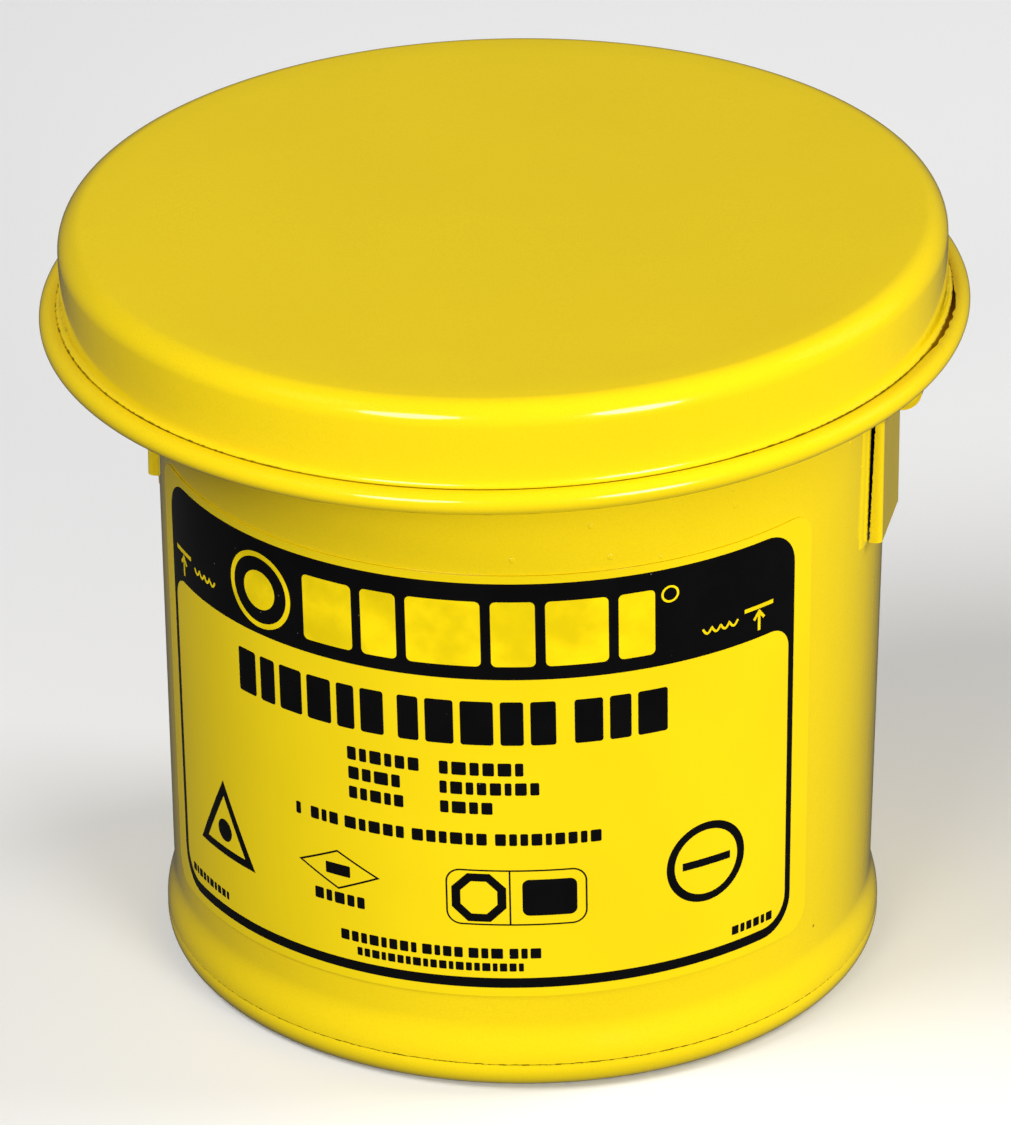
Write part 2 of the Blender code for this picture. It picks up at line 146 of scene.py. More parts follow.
BRACKET_ROWS = 110  # steps along a bracket's height
STRAP_WIDTH = 7.4 * MM
STRAP_TOP = 130 * MM

# Dasher and spring.
DASHER_Z = 98.3 * MM
DASHER_RADIUS = 58.2 * MM
DASHER_WALL = 5.0 * MM
DASHER_BEND = 2.5 * MM
SCREEN_RADIUS = 51.5 * MM
WIRE_RADIUS = 1.0 * MM
STOP_COUNT = 3
STOP_START = math.radians(30)
STOP_WIDTH = 10 * MM
STOP_HEIGHT = 5 * MM
STOP_REACH = 4.6 * MM
STOP_SHEET = 1.0 * MM
CUP_RADIUS = 19.5 * MM
CUP_WALL = 5.0 * MM
SPRING_RADIUS = 16.2 * MM
SPRING_WIRE = 1.1 * MM
SPRING_TURNS = 6
SPRING_STEPS = 48
SPRING_SIDES = 14
RIVET_RADIUS = 2.0 * MM
RIVET_HEAD_RADIUS = 4.2 * MM
RIVET_HEAD = 1.4 * MM
WASHER_RADIUS = 4.8 * MM
WASHER = 0.8 * MM
CELL_CORNERS = 12  # points round one cell of the screen

# Label: (across, up) in the flat, across measured along the wall from the label's middle.
LABEL_TILT = math.radians(1.0)
LABEL_MIDDLE = 52 * MM
FILM_LIFT = 0.12 * MM
FILM = 0.18 * MM
PRINT_LIFT = 0.022 * MM
PRINT_ACROSS = 64.1 * MM
PRINT_LOW = 19.8 * MM
PRINT_TOP = 97.4 * MM
BAND_LOW = 79.3 * MM
BORDER = 1.3 * MM
FOOT_BORDER = 1.9 * MM
PRINT_CORNER = 6.6 * MM
FILM_LOW = 18.1 * MM
FILM_TOP = 98.9 * MM
FILM_CORNER = 4.5 * MM
FILM_MARGIN = 2.6 * MM  # plain film to each side of the print
PRINT_STEP = 0.8 * MM  # longest step of a printed mark round the wall

# Camera and lights, seen from the can's axis.
VIEW_TURN = math.radians(12.0)
VIEW_ELEVATION = 0.473496
VIEW_ROLL = -0.001843
VIEW_DISTANCE = 1548.165 * MM
VIEW_ASIDE = -2.887 * MM
VIEW_HEIGHT = 69.46 * MM
LENS = 286.18
SENSOR = 36.0
LIGHT_DISTANCE = 1.8
LIGHT_AIM = 70 * MM
FLOOR_HALF = 6.0
FLOOR_DROP = 0.02 * MM


# ---------------------------------------------------------------- profiles and surfaces


def points(*pairs):
    return np.array(pairs, float)


def bend(centre, radius, start, end, step=BEND_STEP):
    """Arc of a profile: centre + radius * (cos a, sin a), a from start to end; radius may be a pair."""
    across, up = np.broadcast_to(radius, 2)
    a = np.linspace(start, end, max(3, math.ceil(abs(end - start) / step) + 1))
    return np.stack([centre[0] + across * np.cos(a), centre[1] + up * np.sin(a)], axis=-1)


def dense(path, longest=LONGEST):
    """The same path with long straight steps cut into equal shorter ones."""
    lengths = np.linalg.norm(np.diff(path, axis=0), axis=1)
    path = path[np.append(True, lengths > MERGE)]
    lengths = lengths[lengths > MERGE]
    counts = np.maximum(1, np.ceil(lengths / longest).astype(int))
    place = np.repeat(np.arange(len(counts)), counts)
    inside = np.arange(len(place)) - np.repeat(np.cumsum(counts) - counts, counts)
    place = np.append(place + inside / counts[place], len(counts))
    numbers = np.arange(len(path))
    return np.stack([np.interp(place, numbers, path[:, k]) for k in range(path.shape[1])], axis=-1)


def beside(path, distance):
    """The path moved to its left by a distance: each point goes along the mitre of the steps beside it."""
    step = np.diff(path, axis=0)
    side = np.stack([-step[:, 1], step[:, 0]], axis=-1) / np.linalg.norm(step, axis=1, keepdims=True)
    mitre = np.vstack([side[:1], side]) + np.vstack([side, side[-1:]])
    return path + distance * 2 * mitre / (mitre**2).sum(axis=1, keepdims=True)


def sheet(path, thickness):
    """Closed outline of a sheet whose one face is the path and whose other face lies to its left."""
    path = dense(path)
    return np.vstack([path, beside(path, thickness)[::-1]])


def smooth_noise(count, waves, seed):
    """Even noise round a closed loop, from -1 to 1: a sum of cosines with random phases and wave numbers."""
    random = np.random.default_rng(seed)
    turn = np.linspace(0, 2 * math.pi, count, endpoint=False)[:, None]
    numbers = random.integers(waves // 3, waves, 24)[None, :]
    phases = random.uniform(0, 2 * math.pi, 24)[None, :]
    total = np.cos(turn * numbers + phases).sum(axis=1)
    return total / np.abs(total).max()


def quads(rows, columns, wrap_rows, wrap_columns):
    """Corner numbers of a grid's faces, going round again from the last row or column where it wraps."""
    row = np.arange(rows if wrap_rows else rows - 1)[:, None]
    column = np.arange(columns if wrap_columns else columns - 1)[None, :]
    next_row, next_column = (row + 1) % rows, (column + 1) % columns
    corners = [row * columns + column, row * columns + next_column]
    corners += [next_row * columns + next_column, next_row * columns + column]
    return np.stack(np.broadcast_arrays(*corners), axis=-1).reshape(-1, 4)


def turned(outline, steps=ROUND_STEPS):
    """Solid of revolution: (r, z) goes to (r sin t, -r cos t, z) for t round a full turn.

    The outline is (points, 2), or (steps, points, 2) where it changes as it goes round.
    """
    outline = np.asarray(outline)
    if outline.ndim == 2:
        outline = np.broadcast_to(outline, (steps, *outline.shape))
    t = np.linspace(0, 2 * math.pi, len(outline), endpoint=False)[:, None]
    r, z = outline[..., 0], outline[..., 1]
    grid = np.stack([r * np.sin(t), -r * np.cos(t), z], axis=-1)
    open_at_axis = r[0, 0] <= 0 and r[0, -1] <= 0
    return grid.reshape(-1, 3), quads(*grid.shape[:2], True, not open_at_axis)


def slab(front, back, ring=False):
    """Closed solid between two matching grids of points; a ring closes on itself along its rows."""
    rows, columns = front.shape[:2]
    grid = np.concatenate([front, back[:, ::-1]], axis=1)
    faces = [quads(rows, 2 * columns, ring, True)]
    if not ring:
        j = np.arange(columns - 1)
        for first in (0, (rows - 1) * 2 * columns):
            last = first + 2 * columns - 1
            faces.append(np.stack([first + j, first + j + 1, last - 1 - j, last - j], axis=-1))
    return grid.reshape(-1, 3), np.concatenate(faces)


def ribbon(path, thickness, low, high, axes=(0, 2, 1), rows=2):
    """Sheet bent along a path, from low to high across it; axes says where u, v and width go."""
    path = dense(path)
    widths = np.linspace(low, high, rows)
    faces = []
    for line in (path, beside(path, thickness)):
        grid = np.empty((len(path), rows, 3))
        grid[..., axes[0]] = line[:, :1]
        grid[..., axes[1]] = line[:, 1:]
        grid[..., axes[2]] = widths
        faces.append(grid)
    return slab(*faces)


def moved(part, shift):
    return part[0] + np.array(shift, float), part[1]


def turned_about_z(part, angle):
    c, s = math.cos(angle), math.sin(angle)
    return part[0] @ np.array([[c, -s, 0], [s, c, 0], [0, 0, 1]]).T, part[1]


def tilted(part, angle):
    """Turned about Y: (x, z) goes to (x cos a - z sin a, x sin a + z cos a), so +X rises."""
    c, s = math.cos(angle), math.sin(angle)
    return part[0] @ np.array([[c, 0, -s], [0, 1, 0], [s, 0, c]]).T, part[1]


def solid(name, parts, finish, body, nodes, bevel=0.0):
    """Joins closed parts into one object at the origin, which rides on a body and stands for CAD nodes."""
    starts = np.cumsum([0] + [len(p) for p, _ in parts[:-1]])
    mesh = bpy.data.meshes.new(name)
    all_points = np.concatenate([p for p, _ in parts])
    all_faces = np.concatenate([f + start for (_, f), start in zip(parts, starts)])
    mesh.from_pydata(all_points.tolist(), [], all_faces.tolist())
    bm = bmesh.new()
    bm.from_mesh(mesh)
    bmesh.ops.remove_doubles(bm, verts=bm.verts, dist=MERGE)
    bmesh.ops.delete(bm, geom=[edge for edge in bm.edges if not edge.link_faces], context="EDGES")
    bmesh.ops.recalc_face_normals(bm, faces=bm.faces)
    bm.to_mesh(mesh)
    bm.free()
    mesh.shade_smooth()
    mesh.set_sharp_from_angle(angle=SHARP_ANGLE)
    obj = bpy.data.objects.new(name, mesh)
    bpy.context.scene.collection.objects.link(obj)
    obj.data.materials.append(finish)
    if bevel:
        edge = obj.modifiers.new("worn_edge", "BEVEL")
        edge.width = bevel
        edge.segments = 3
        edge.limit_method = "ANGLE"
        edge.angle_limit = SHARP_ANGLE
        edge.harden_normals = True
    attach(obj, body)
    if nodes:
        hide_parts(*nodes)
    return obj


def wall_radius(z):
    return WALL_RADIUS * (1 + WALL_FLARE * (z / WALL_MIDDLE - 1))


# ---------------------------------------------------------------- finishes


class Wave:
    """A number that varies over a surface: writing sums and products of it adds Math nodes."""

    def __init__(self, finish, socket):
        self.finish = finish
        self.socket = socket

    def math(self, operation, *others, swap=False):
        values = [self, *others]
        if swap:
            values.reverse()
        node = self.finish.node("ShaderNodeMath", {"operation": operation}, dict(enumerate(values)))
        return Wave(self.finish, node.outputs[0])

    def __add__(self, other):
        return self.math("ADD", other)

    def __sub__(self, other):
        return self.math("SUBTRACT", other)

    def __rsub__(self, other):
        return self.math("SUBTRACT", other, swap=True)

    def __mul__(self, other):
        return self.math("MULTIPLY", other)

    __radd__ = __add__
    __rmul__ = __mul__

    def above(self, low, high):
        """0 below low, 1 over high and a smooth step between."""
        settings = {"interpolation_type": "SMOOTHSTEP"}
        node = self.finish.node("ShaderNodeMapRange", settings, {0: self, 1: low, 2: high, 3: 0.0, 4: 1.0})
        return Wave(self.finish, node.outputs[0])


class Finish:
    """One material: a Principled shader and the nodes that feed it."""

    def __init__(self, name, metallic=0.0, coat=0.0, specular=0.5):
        self.material = bpy.data.materials.new(name)
        self.material.use_nodes = True
        self.tree = self.material.node_tree
        self.shader = self.tree.nodes["Principled BSDF"]
        self.shader.inputs["Metallic"].default_value = metallic
        self.shader.inputs["Coat Weight"].default_value = coat
        self.shader.inputs["Coat Roughness"].default_value = COAT_ROUGHNESS
        self.shader.inputs["Specular IOR Level"].default_value = specular
        self.place = self.node("ShaderNodeTexCoord").outputs["Object"]

    def node(self, kind, settings=None, inputs=None):
        node = self.tree.nodes.new(kind)
        for name, value in (settings or {}).items():
            setattr(node, name, value)
        for key, value in (inputs or {}).items():
            self.set(node.inputs[key], value)
        return node

    def set(self, socket, value):
        if isinstance(value, Wave):
            value = value.socket
        if isinstance(value, bpy.types.NodeSocket):
            self.tree.links.new(value, socket)
        else:
            socket.default_value = value

    def feed(self, name, value):
        self.set(self.shader.inputs[name], value)

    def noise(self, size, detail=2.0, roughness=0.5, stretch=(1, 1, 1)):
        """Soft noise from 0 to 1 whose lumps are about size across, drawn out where stretch is small."""
        place = self.node("ShaderNodeMapping", None, {"Vector": self.place, "Scale": stretch}).outputs[0]
        inputs = {"Vector": place, "Scale": 1 / size, "Detail": detail, "Roughness": roughness}
        return Wave(self, self.node("ShaderNodeTexNoise", None, inputs).outputs[0])

    def cells(self, size):
        """Distance to the nearest of many scattered points, about size apart, in shares of size."""
        inputs = {"Vector": self.place, "Scale": 1 / size}
        node = self.node("ShaderNodeTexVoronoi", {"feature": "F1"}, inputs)
        return Wave(self, node.outputs["Distance"])

    def place_axes(self):
        """Distances along the frame's X, Y and Z, in metres."""
        return [Wave(self, out) for out in self.node("ShaderNodeSeparateXYZ", None, {0: self.place}).outputs]

    def mix(self, share, low, high):
        """Colour between low and high."""
        node = self.node("ShaderNodeMix", {"data_type": "RGBA"})
        self.set(node.inputs["Factor"], share)
        for socket, colour in ((node.inputs[6], low), (node.inputs[7], high)):
            self.set(socket, (*colour, 1.0) if isinstance(colour, (tuple, list)) else colour)
        return node.outputs[2]

    def bump(self, *layers):
        """Bumps on top of each other; each layer is a height from 0 to 1 and its depth in metres."""
        normal = None
        for wave, depth in layers:
            node = self.node("ShaderNodeBump", None, {"Height": wave, "Distance": depth, "Strength": 1.0})
            if normal is not None:
                self.set(node.inputs["Normal"], normal)
            normal = node.outputs[0]
        self.feed("Normal", normal)


def scaled(colour, share):
    return tuple(c * share for c in colour)


def seam_pinholes_and_shade(finish, x, y, z):
    """Dark pinholes in the paint, along the base seam and the crevice above the lid's bead; in the crevice
    they are also painted shade, weak at the front and strong at the left and right as the camera sees them.
    """
    dots = finish.noise(0.9 * MM, 2.0).above(0.50, 0.56)
    along = (x - LID_X) * math.cos(LID_ASKEW) + (y - LID_Y) * math.sin(LID_ASKEW)
    across = (y - LID_Y) * math.cos(LID_ASKEW) - (x - LID_X) * math.sin(LID_ASKEW)
    u = along * math.cos(LID_TILT) + (z - BEAD_Z) * math.sin(LID_TILT)
    v = (z - BEAD_Z) * math.cos(LID_TILT) - along * math.sin(LID_TILT)
    far = (u * u + across * across).math("SQRT")
    lid_seam_pinholes_and_shade = 1 - (far - SEAM_OUT).math("ABSOLUTE").above(0.10 * MM, 0.26 * MM)
    lid_seam_pinholes_and_shade = lid_seam_pinholes_and_shade * (1 - (v - SEAM_UP).math("ABSOLUTE").above(0.2 * MM, 0.3 * MM))
    # painted shade: the crevice's dark dots are made much stronger towards the left and right sides as the
    # camera sees them
    lid_seam_pinholes_and_shade = lid_seam_pinholes_and_shade * (u.math("ABSOLUTE").above(0.35 * LID_SKIRT, 0.62 * LID_SKIRT) * 0.85 + 0.12)
    out = from_axis(x, y)
    foot_seam = 1 - (z - SEAM_Z).math("ABSOLUTE").above(0.06 * MM, 0.20 * MM)
    foot_seam = foot_seam * out.above(SEAM_RADIUS - 0.9 * MM, SEAM_RADIUS - 0.7 * MM)
    return (lid_seam_pinholes_and_shade * 0.75 + foot_seam * 0.9) * dots


def from_axis(x, y):
    """Distance from the can's axis."""
    out = x - CAN_X
    return (out * out + y * y).math("SQRT")


def painted_channel_shade(x, y, z):
    """Share of painted shade: near-black paint on the wall's outside inside the brackets' channels, where
    shade falls.
    """
    out = (x - CAN_X).math("ABSOLUTE")
    depth = from_axis(x, y) - z * WALL_FLARE - WALL_RADIUS * (1 - WALL_FLARE)
    behind = depth.above(-0.5 * SHEET, -0.4 * SHEET) * (1 - out.above(CHANNEL_SHADE_OUT, CHANNEL_SHADE_OUT + 0.05 * MM))
    behind = behind * (1 - y.math("ABSOLUTE").above(CHANNEL_SHADE_HALF, CHANNEL_SHADE_HALF + 0.05 * MM))
    return behind * z.above(BRACKET_LOW, BRACKET_LOW + 0.4 * MM) * (1 - z.above(WEB_TOP, SIDE_BRACKET_TOP))


def enamel(name, colour, peel=1.0, rub=0.0):
    """Baked yellow enamel: faint clouds, dust specks, orange peel; outside also seams dotted with pinholes
    and painted shade, a rubbed foot and painted shade inside the brackets' channels.
    """
    finish = Finish(name, coat=1.0, specular=0.3)
    cloud = finish.noise(34 * MM, 3.0)
    fine = finish.noise(3.2 * MM, 3.0)
    base = finish.mix(cloud.above(0.32, 0.68), scaled(colour, 0.985), scaled(colour, 1.01))
    base = finish.mix(fine.above(0.56, 0.80) * 0.10, base, scaled(colour, 0.90))
    base = finish.mix(finish.noise(0.35 * MM, 1.0).above(0.4, 0.7) * 0.35, base, scaled(colour, 0.88))
    speck = (1 - finish.cells(21 * MM).above(0.010, 0.018)) * finish.noise(60 * MM).above(0.50, 0.56)
    base = finish.mix(speck * 0.85, base, (0.16, 0.075, 0.012))
    if rub:
        x, y, z = finish.place_axes()
        # dark pinholes along the seams, which in the lid's crevice are also painted shade
        base = finish.mix(seam_pinholes_and_shade(finish, x, y, z), base, (0.10, 0.055, 0.004))
        worn = finish.noise(2.3 * MM, 5.0, 0.7).above(0.50, 0.62)
        low = 1 - z.above(0.15 * MM, rub)
        base = finish.mix(low * worn * 0.8, base, (0.20, 0.17, 0.12))
        # painted shade: the wall inside the brackets' channels is painted near black
        base = finish.mix(painted_channel_shade(x, y, z), base, (0.012, 0.009, 0.005))
    finish.feed("Base Color", base)
    scuff = finish.noise(9 * MM, 4.0, 0.65, (1.0, 1.0, 0.35))
    finish.feed("Roughness", scuff.above(0.35, 0.75) * 0.10 + 0.14)
    peeled = finish.noise(1.7 * MM, 2.0)
    wavy = finish.noise(11 * MM, 1.0)
    grain = finish.noise(0.45 * MM, 1.0)
    finish.bump((wavy, 0.025 * MM * peel), (peeled, 0.008 * MM * peel), (grain, 0.0022 * MM * peel))
    return finish.material


def plated(name, colour, roughness, lay=(1, 1, 1), stain=0.25):
    """Plated steel: rolled grain along its lay, cloudy plating and a little brown at worn spots."""
    finish = Finish(name, metallic=1.0)
    cloud = finish.noise(12 * MM, 3.0)
    grain = finish.noise(0.9 * MM, 3.0, 0.6, lay)
    base = finish.mix(cloud.above(0.3, 0.7), scaled(colour, 0.86), scaled(colour, 1.06))
    brown = finish.noise(5 * MM, 5.0, 0.65).above(0.60, 0.74) * stain
    base = finish.mix(brown, base, (0.30, 0.20, 0.11))
    finish.feed("Base Color", base)
    finish.feed("Roughness", grain.above(0.3, 0.7) * 0.16 + brown * 0.3 + roughness)
    finish.bump((grain, 0.006 * MM), (cloud, 0.02 * MM))
    return finish.material


def film(name, colour):
    """Glossy printed film that takes on a little of the waviness under it."""
    finish = Finish(name, coat=0.2)
    cloud = finish.noise(28 * MM, 2.0)
    fleck = finish.noise(0.9 * MM, 2.0)
    base = finish.mix(cloud.above(0.3, 0.7), scaled(colour, 0.97), scaled(colour, 1.02))
    base = finish.mix(fleck.above(0.62, 0.8) * 0.12, base, scaled(colour, 0.85))
    finish.feed("Base Color", base)
    finish.feed("Roughness", finish.noise(6 * MM, 3.0).above(0.3, 0.7) * 0.07 + 0.12)
    finish.bump((finish.noise(13 * MM, 1.0), 0.05 * MM), (finish.noise(0.7 * MM, 1.0), 0.0015 * MM))
    return finish.material


def ink(name, colour, dust):
    """Screen-printed ink: nearly even, with tiny pinholes and dust."""
    finish = Finish(name, specular=0.12)
    pin = (1 - finish.cells(2.6 * MM).above(0.03, 0.06)) * finish.noise(22 * MM).above(0.5, 0.62)
    cloud = finish.noise(9 * MM, 3.0)
    base = finish.mix(cloud.above(0.3, 0.7), scaled(colour, 0.85), scaled(colour, 1.12))
    finish.feed("Base Color", finish.mix(pin * 0.45, base, dust))
    finish.feed("Roughness", cloud * 0.10 + 0.22)
    finish.bump((finish.noise(13 * MM, 1.0), 0.04 * MM), (finish.noise(0.5 * MM, 1.0), 0.001 * MM))
    return finish.material


def finish_of(name, make, *values, **more):
    """The material of that name, made the first time that a piece asks for it."""
    return bpy.data.materials.get(name) or make(name, *values, **more)


def yellow(props):
    return finish_of("yellow_enamel", enamel, tuple(props.paint), props.peel, rub=1.2 * MM)


def shaded_inside_yellow(props):
    # painted shade: the inside enamel is the outside colour darkened to 0.93
    return finish_of("inside_enamel", enamel, scaled(tuple(props.paint), 0.93), 1.6 * props.peel)


def zinc(props):
    return finish_of("zinc_plate", plated, tuple(props.plating), 0.26)


def spring_steel(props):
    return finish_of("spring_steel", plated, scaled(tuple(props.plating), 0.62), 0.22, (1, 1, 6), 0.35)


# ---------------------------------------------------------------- can


def wall_outline():
    """Outside from the flared foot up, then down the inside; (rows, points, 2), as its foot is ragged."""
    ragged = 0.10 * MM * smooth_noise(SEAM_STEPS, 240, 5) + 0.05 * MM * smooth_noise(SEAM_STEPS, 60, 6)
    part = np.linspace(1, 0, 14)
    z = FLARE_TOP - (FLARE_TOP - SEAM_Z) * part
    swell = (SEAM_RADIUS - wall_radius(SEAM_Z)) * (1 - np.cos(part * math.pi)) / 2
    foot = np.stack([wall_radius(z) + swell, z + 0.5 * GAP], axis=-1)
    top = points((wall_radius(WALL_TOP), WALL_TOP))
    outside = np.vstack([foot, top])
    outline = np.repeat(sheet(outside, SHEET)[None], SEAM_STEPS, axis=0)
    at_foot = outline[..., 1] < SEAM_Z + GAP
    outline[..., 1] += np.where(at_foot, ragged[:, None], 0)
    return outline


def pan_outline():
    """Floor, inner wall of the rim, flat foot and the roll up to the seam."""
    under = PAN_FLOOR - SHEET
    wall = ROLL_CENTRE - FOOT_WIDTH - PAN_BEND
    end = math.asin((SEAM_Z - 0.2 * GAP - ROLL_RADIUS) / ROLL_RADIUS)
    path = [bend((ROLL_CENTRE, ROLL_RADIUS), ROLL_RADIUS, end, -math.pi / 2)]
    path += [bend((wall + PAN_BEND, PAN_BEND), PAN_BEND, -math.pi / 2, -math.pi)]
    path += [bend((wall - PAN_BEND, under - PAN_BEND), PAN_BEND, 0, math.pi / 2), points((0.0, under))]
    outline = sheet(np.vstack(path)[::-1], SHEET)
    outline[:, 0] = np.maximum(outline[:, 0], 0)
    return outline


def nib(place, out, radius, height):
    """Drop of paint: radius * (cos t, sin t) * sin p across, height * cos p out, on a flat base."""
    t = np.linspace(0, 2 * math.pi, 12, endpoint=False)[:, None]
    p = np.append(np.linspace(0, math.pi / 2, 5), math.pi)[None, :]
    out = np.array(out) / np.linalg.norm(out)
    aside = np.cross(out, [0, 0, 1.0] if abs(out[2]) < 0.9 else [1.0, 0, 0])
    aside /= np.linalg.norm(aside)
    up = np.cross(out, aside)
    across = (radius * np.cos(t) * np.sin(p))[..., None] * aside
    across = across + (radius * np.sin(t) * np.sin(p))[..., None] * up
    rise = (height * np.maximum(np.cos(p), -0.5) * np.ones_like(t))[..., None] * out
    grid = np.array(place) + across + rise
    return grid.reshape(-1, 3), quads(*grid.shape[:2], True, False)


def wall_nibs():
    """Drips and dust under the enamel, scattered round the wall below the brim."""
    random = np.random.default_rng(11)
    parts = []
    for _ in range(26):
        t, z = random.uniform(0, 2 * math.pi), random.uniform(100, 113) * MM
        r = wall_radius(z) - 0.02 * MM
        out = (math.sin(t), -math.cos(t), 0)
        parts.append(nib((r * out[0], r * out[1], z), out, random.uniform(0.25, 0.6) * MM, 0.12 * MM))
    return parts


def make_can(props):
    paint = yellow(props)
    wall = [moved(part, (CAN_X, 0, 0)) for part in [turned(wall_outline()), *wall_nibs()]]
    solid("can_wall", wall, paint, "can", ["body_shell"])
    pan = moved(turned(pan_outline()), (CAN_X, 0, 0))
    solid("base_pan_rolled", [pan], paint, "can", ["base_pan"])


def ring_outline():
    """Collar inside the wall's top that flares out to a rolled lip."""
    inside = wall_radius(WALL_TOP) - SHEET - GAP
    foot = wall_radius(COLLAR_FOOT) - SHEET - GAP
    lip = (LIP_CENTRE, LIP_TOP - LIP_RADIUS)
    path = [points((foot, COLLAR_FOOT), (inside, WALL_TOP))]
    path += [bend((inside + COLLAR_BEND, WALL_TOP + GAP), COLLAR_BEND, math.pi, math.radians(125))]
    path += [bend(lip, LIP_RADIUS - SHEET, math.radians(160), math.radians(-75))]
    return sheet(np.vstack(path), SHEET)


def make_mouth(props):
    paint = shaded_inside_yellow(props)
    ring = moved(turned(ring_outline()), (CAN_X, 0, 0))
    solid("mouth_ring_rolled", [ring], paint, "can", ["mouth_ring"])
    foot = DASHER_Z + DASHER_WALL + 2 * WIRE_RADIUS + 2 * GAP
    wall = wall_radius(foot) - SHEET - GAP
    outer = math.sqrt(wall**2 - (STOP_WIDTH / 2) ** 2)
    round_in = 1.2 * MM
    path = [points((outer - STOP_REACH, foot))]
    path += [bend((outer - round_in, foot + round_in), round_in, -math.pi / 2, 0)]
    path += [points((outer, foot + STOP_HEIGHT))]
    for i in range(STOP_COUNT):
        stop = ribbon(np.vstack(path), STOP_SHEET, -STOP_WIDTH / 2, STOP_WIDTH / 2)
        stop = moved(turned_about_z(stop, STOP_START + i * 2 * math.pi / STOP_COUNT), (CAN_X, 0, 0))
        name = f"dasher_stop_{i + 1}"
        solid(f"{name}_bent", [stop], paint, "can", [name], bevel=0.15 * MM)


# ---------------------------------------------------------------- label


def on_wall(flat, lift):
    """(across, up) on the flat label goes to the wall: tilted a little, then turned by across / radius."""
    turn = (flat[..., 0] - (flat[..., 1] - LABEL_MIDDLE) * math.tan(LABEL_TILT)) / WALL_RADIUS
    z = flat[..., 1] + WALL_RADIUS * np.sin(turn) * math.tan(LABEL_TILT)
    r = wall_radius(z) + lift
    return np.stack([CAN_X + r * np.sin(turn), -r * np.cos(turn), z], axis=-1)


def mark(flat, lift, thickness, ring=False):
    """Flat mark pressed onto the wall as a thin solid."""
    return slab(on_wall(flat, lift + thickness), on_wall(flat, lift), ring)


def blend_grid(first, second, columns=2):
    """Straight lines from each point of one edge to its partner on the other, cut into equal columns."""
    share = np.linspace(0, 1, columns)[None, :, None]
    return first[:, None, :] * (1 - share) + second[:, None, :] * share


def block(left, right, low, high, corner):
    """Rounded rectangle: from the lower to the upper outline, whose ends are quarter circles."""
    corner = min(corner, (right - left) / 2, (high - low) / 2)
    quarter = corner * (1 - np.cos(np.linspace(0, math.pi / 2, 6)))
    middle = np.linspace(left + corner, right - corner, max(2, math.ceil((right - left) / PRINT_STEP) + 1))
    across = np.concatenate([left + quarter, middle[1:-1], right - quarter[::-1]])
    edge = np.minimum(across - left, right - across)
    drop = corner - np.sqrt(np.maximum(corner**2 - np.maximum(corner - edge, 0) ** 2, 0))
    lower = np.stack([across, low + drop], axis=-1)
    upper = np.stack([across, high - drop], axis=-1)
    return blend_grid(lower, upper, max(2, math.ceil((high - low) / (6 * MM)) + 1))


def rounded_outline(across, low, high, top_corner, foot_corner, steps=10):
    """Loop round a box with its middle at 0 across: four quarter circles and evenly cut straight sides."""
    loop = []
    corners = [(1, high, top_corner, 0), (-1, high, top_corner, 1)]
    corners += [(-1, low, foot_corner, 2), (1, low, foot_corner, 3)]
    for side, level, radius, quarter in corners:
        centre = (side * (across - radius), level - radius if quarter < 2 else level + radius)
        start = quarter * math.pi / 2
        loop.append(bend(centre, radius, start, start + math.pi / 2, math.pi / 2 / steps))
    cuts = (160, 60, 160, 60)
    sides = []
    for i, corner in enumerate(loop):
        step = np.linspace(0, 1, cuts[i])[1:-1, None]
        sides += [corner, corner[-1] + step * (loop[(i + 1) % 4][0] - corner[-1])]
    return np.vstack(sides)


def polygon(centre, radii, sides, turn, per_side=6):
    """Loop round a regular polygon with two half-axes, each side cut evenly."""
    a = turn + np.arange(sides + 1) * 2 * math.pi / sides
    tips = np.stack([centre[0] + radii[0] * np.cos(a), centre[1] + radii[1] * np.sin(a)], axis=-1)
    share = np.linspace(0, 1, per_side, endpoint=False)[None, :, None]
    return (tips[:-1, None] * (1 - share) + tips[1:, None] * share).reshape(-1, 2)


def polygon_ring(centre, outer, inner, sides, turn=0.0, per_side=1, columns=2):
    """Ring between two polygons about one centre; the sizes are radii or pairs of half-axes, in mm."""
    loops = [polygon(centre, np.broadcast_to(size, 2) * MM, sides, turn, per_side) for size in (outer, inner)]
    return blend_grid(*loops, columns)


def stroke(path, width):
    """Line of even width along a path."""
    return np.stack([beside(path, -width / 2), beside(path, width / 2)], axis=1)


def greeked(left, right, low, high, shares, gap, corner):
    """Row of plain blocks with those shares of the width, as stand-ins for a word."""
    shares = np.array(shares, float)
    widths = shares / shares.sum() * (right - left - gap * (len(shares) - 1))
    starts = left + np.cumsum(widths) - widths + gap * np.arange(len(shares))
    return [block(s, s + w, low, high, corner) for s, w in zip(starts, widths)]


def small_words(words, low, high):
    """Rows of little blocks, one for about every glyph's width."""
    marks = []
    for left, right in words:
        count = max(1, round((right - left) / (0.92 * (high - low))))
        shares = 1 + 0.28 * np.sin(np.arange(count) * 2.4 + left * 900)
        marks += greeked(left, right, low, high, shares, 0.24 * (high - low), 0.12 * (high - low))
    return marks


def fill_mark(middle, side):
    """Fill level: a line with an arrow up to it, and on its inner side a few scallops, points up."""

    def at(*pairs):
        return (points(*pairs) * (side, 1) + (middle, 0)) * MM

    step = np.linspace(0, 1, 60)
    scallops = np.stack([-4.5 - 6.9 * step, 84.3 - 0.95 * np.abs(np.sin(step * 4 * math.pi))], axis=-1)
    strokes = [stroke(dense(at((-3.1, 85.2), (3.1, 85.2)), PRINT_STEP), 0.75 * MM)]
    strokes.append(stroke(at((0, 80.7), (0, 84.0)), 0.55 * MM))
    strokes.append(stroke(at((-1.1, 82.9), (0, 84.3), (1.1, 82.9)), 0.55 * MM))
    strokes.append(stroke(at(*scallops), 0.42 * MM))
    return strokes


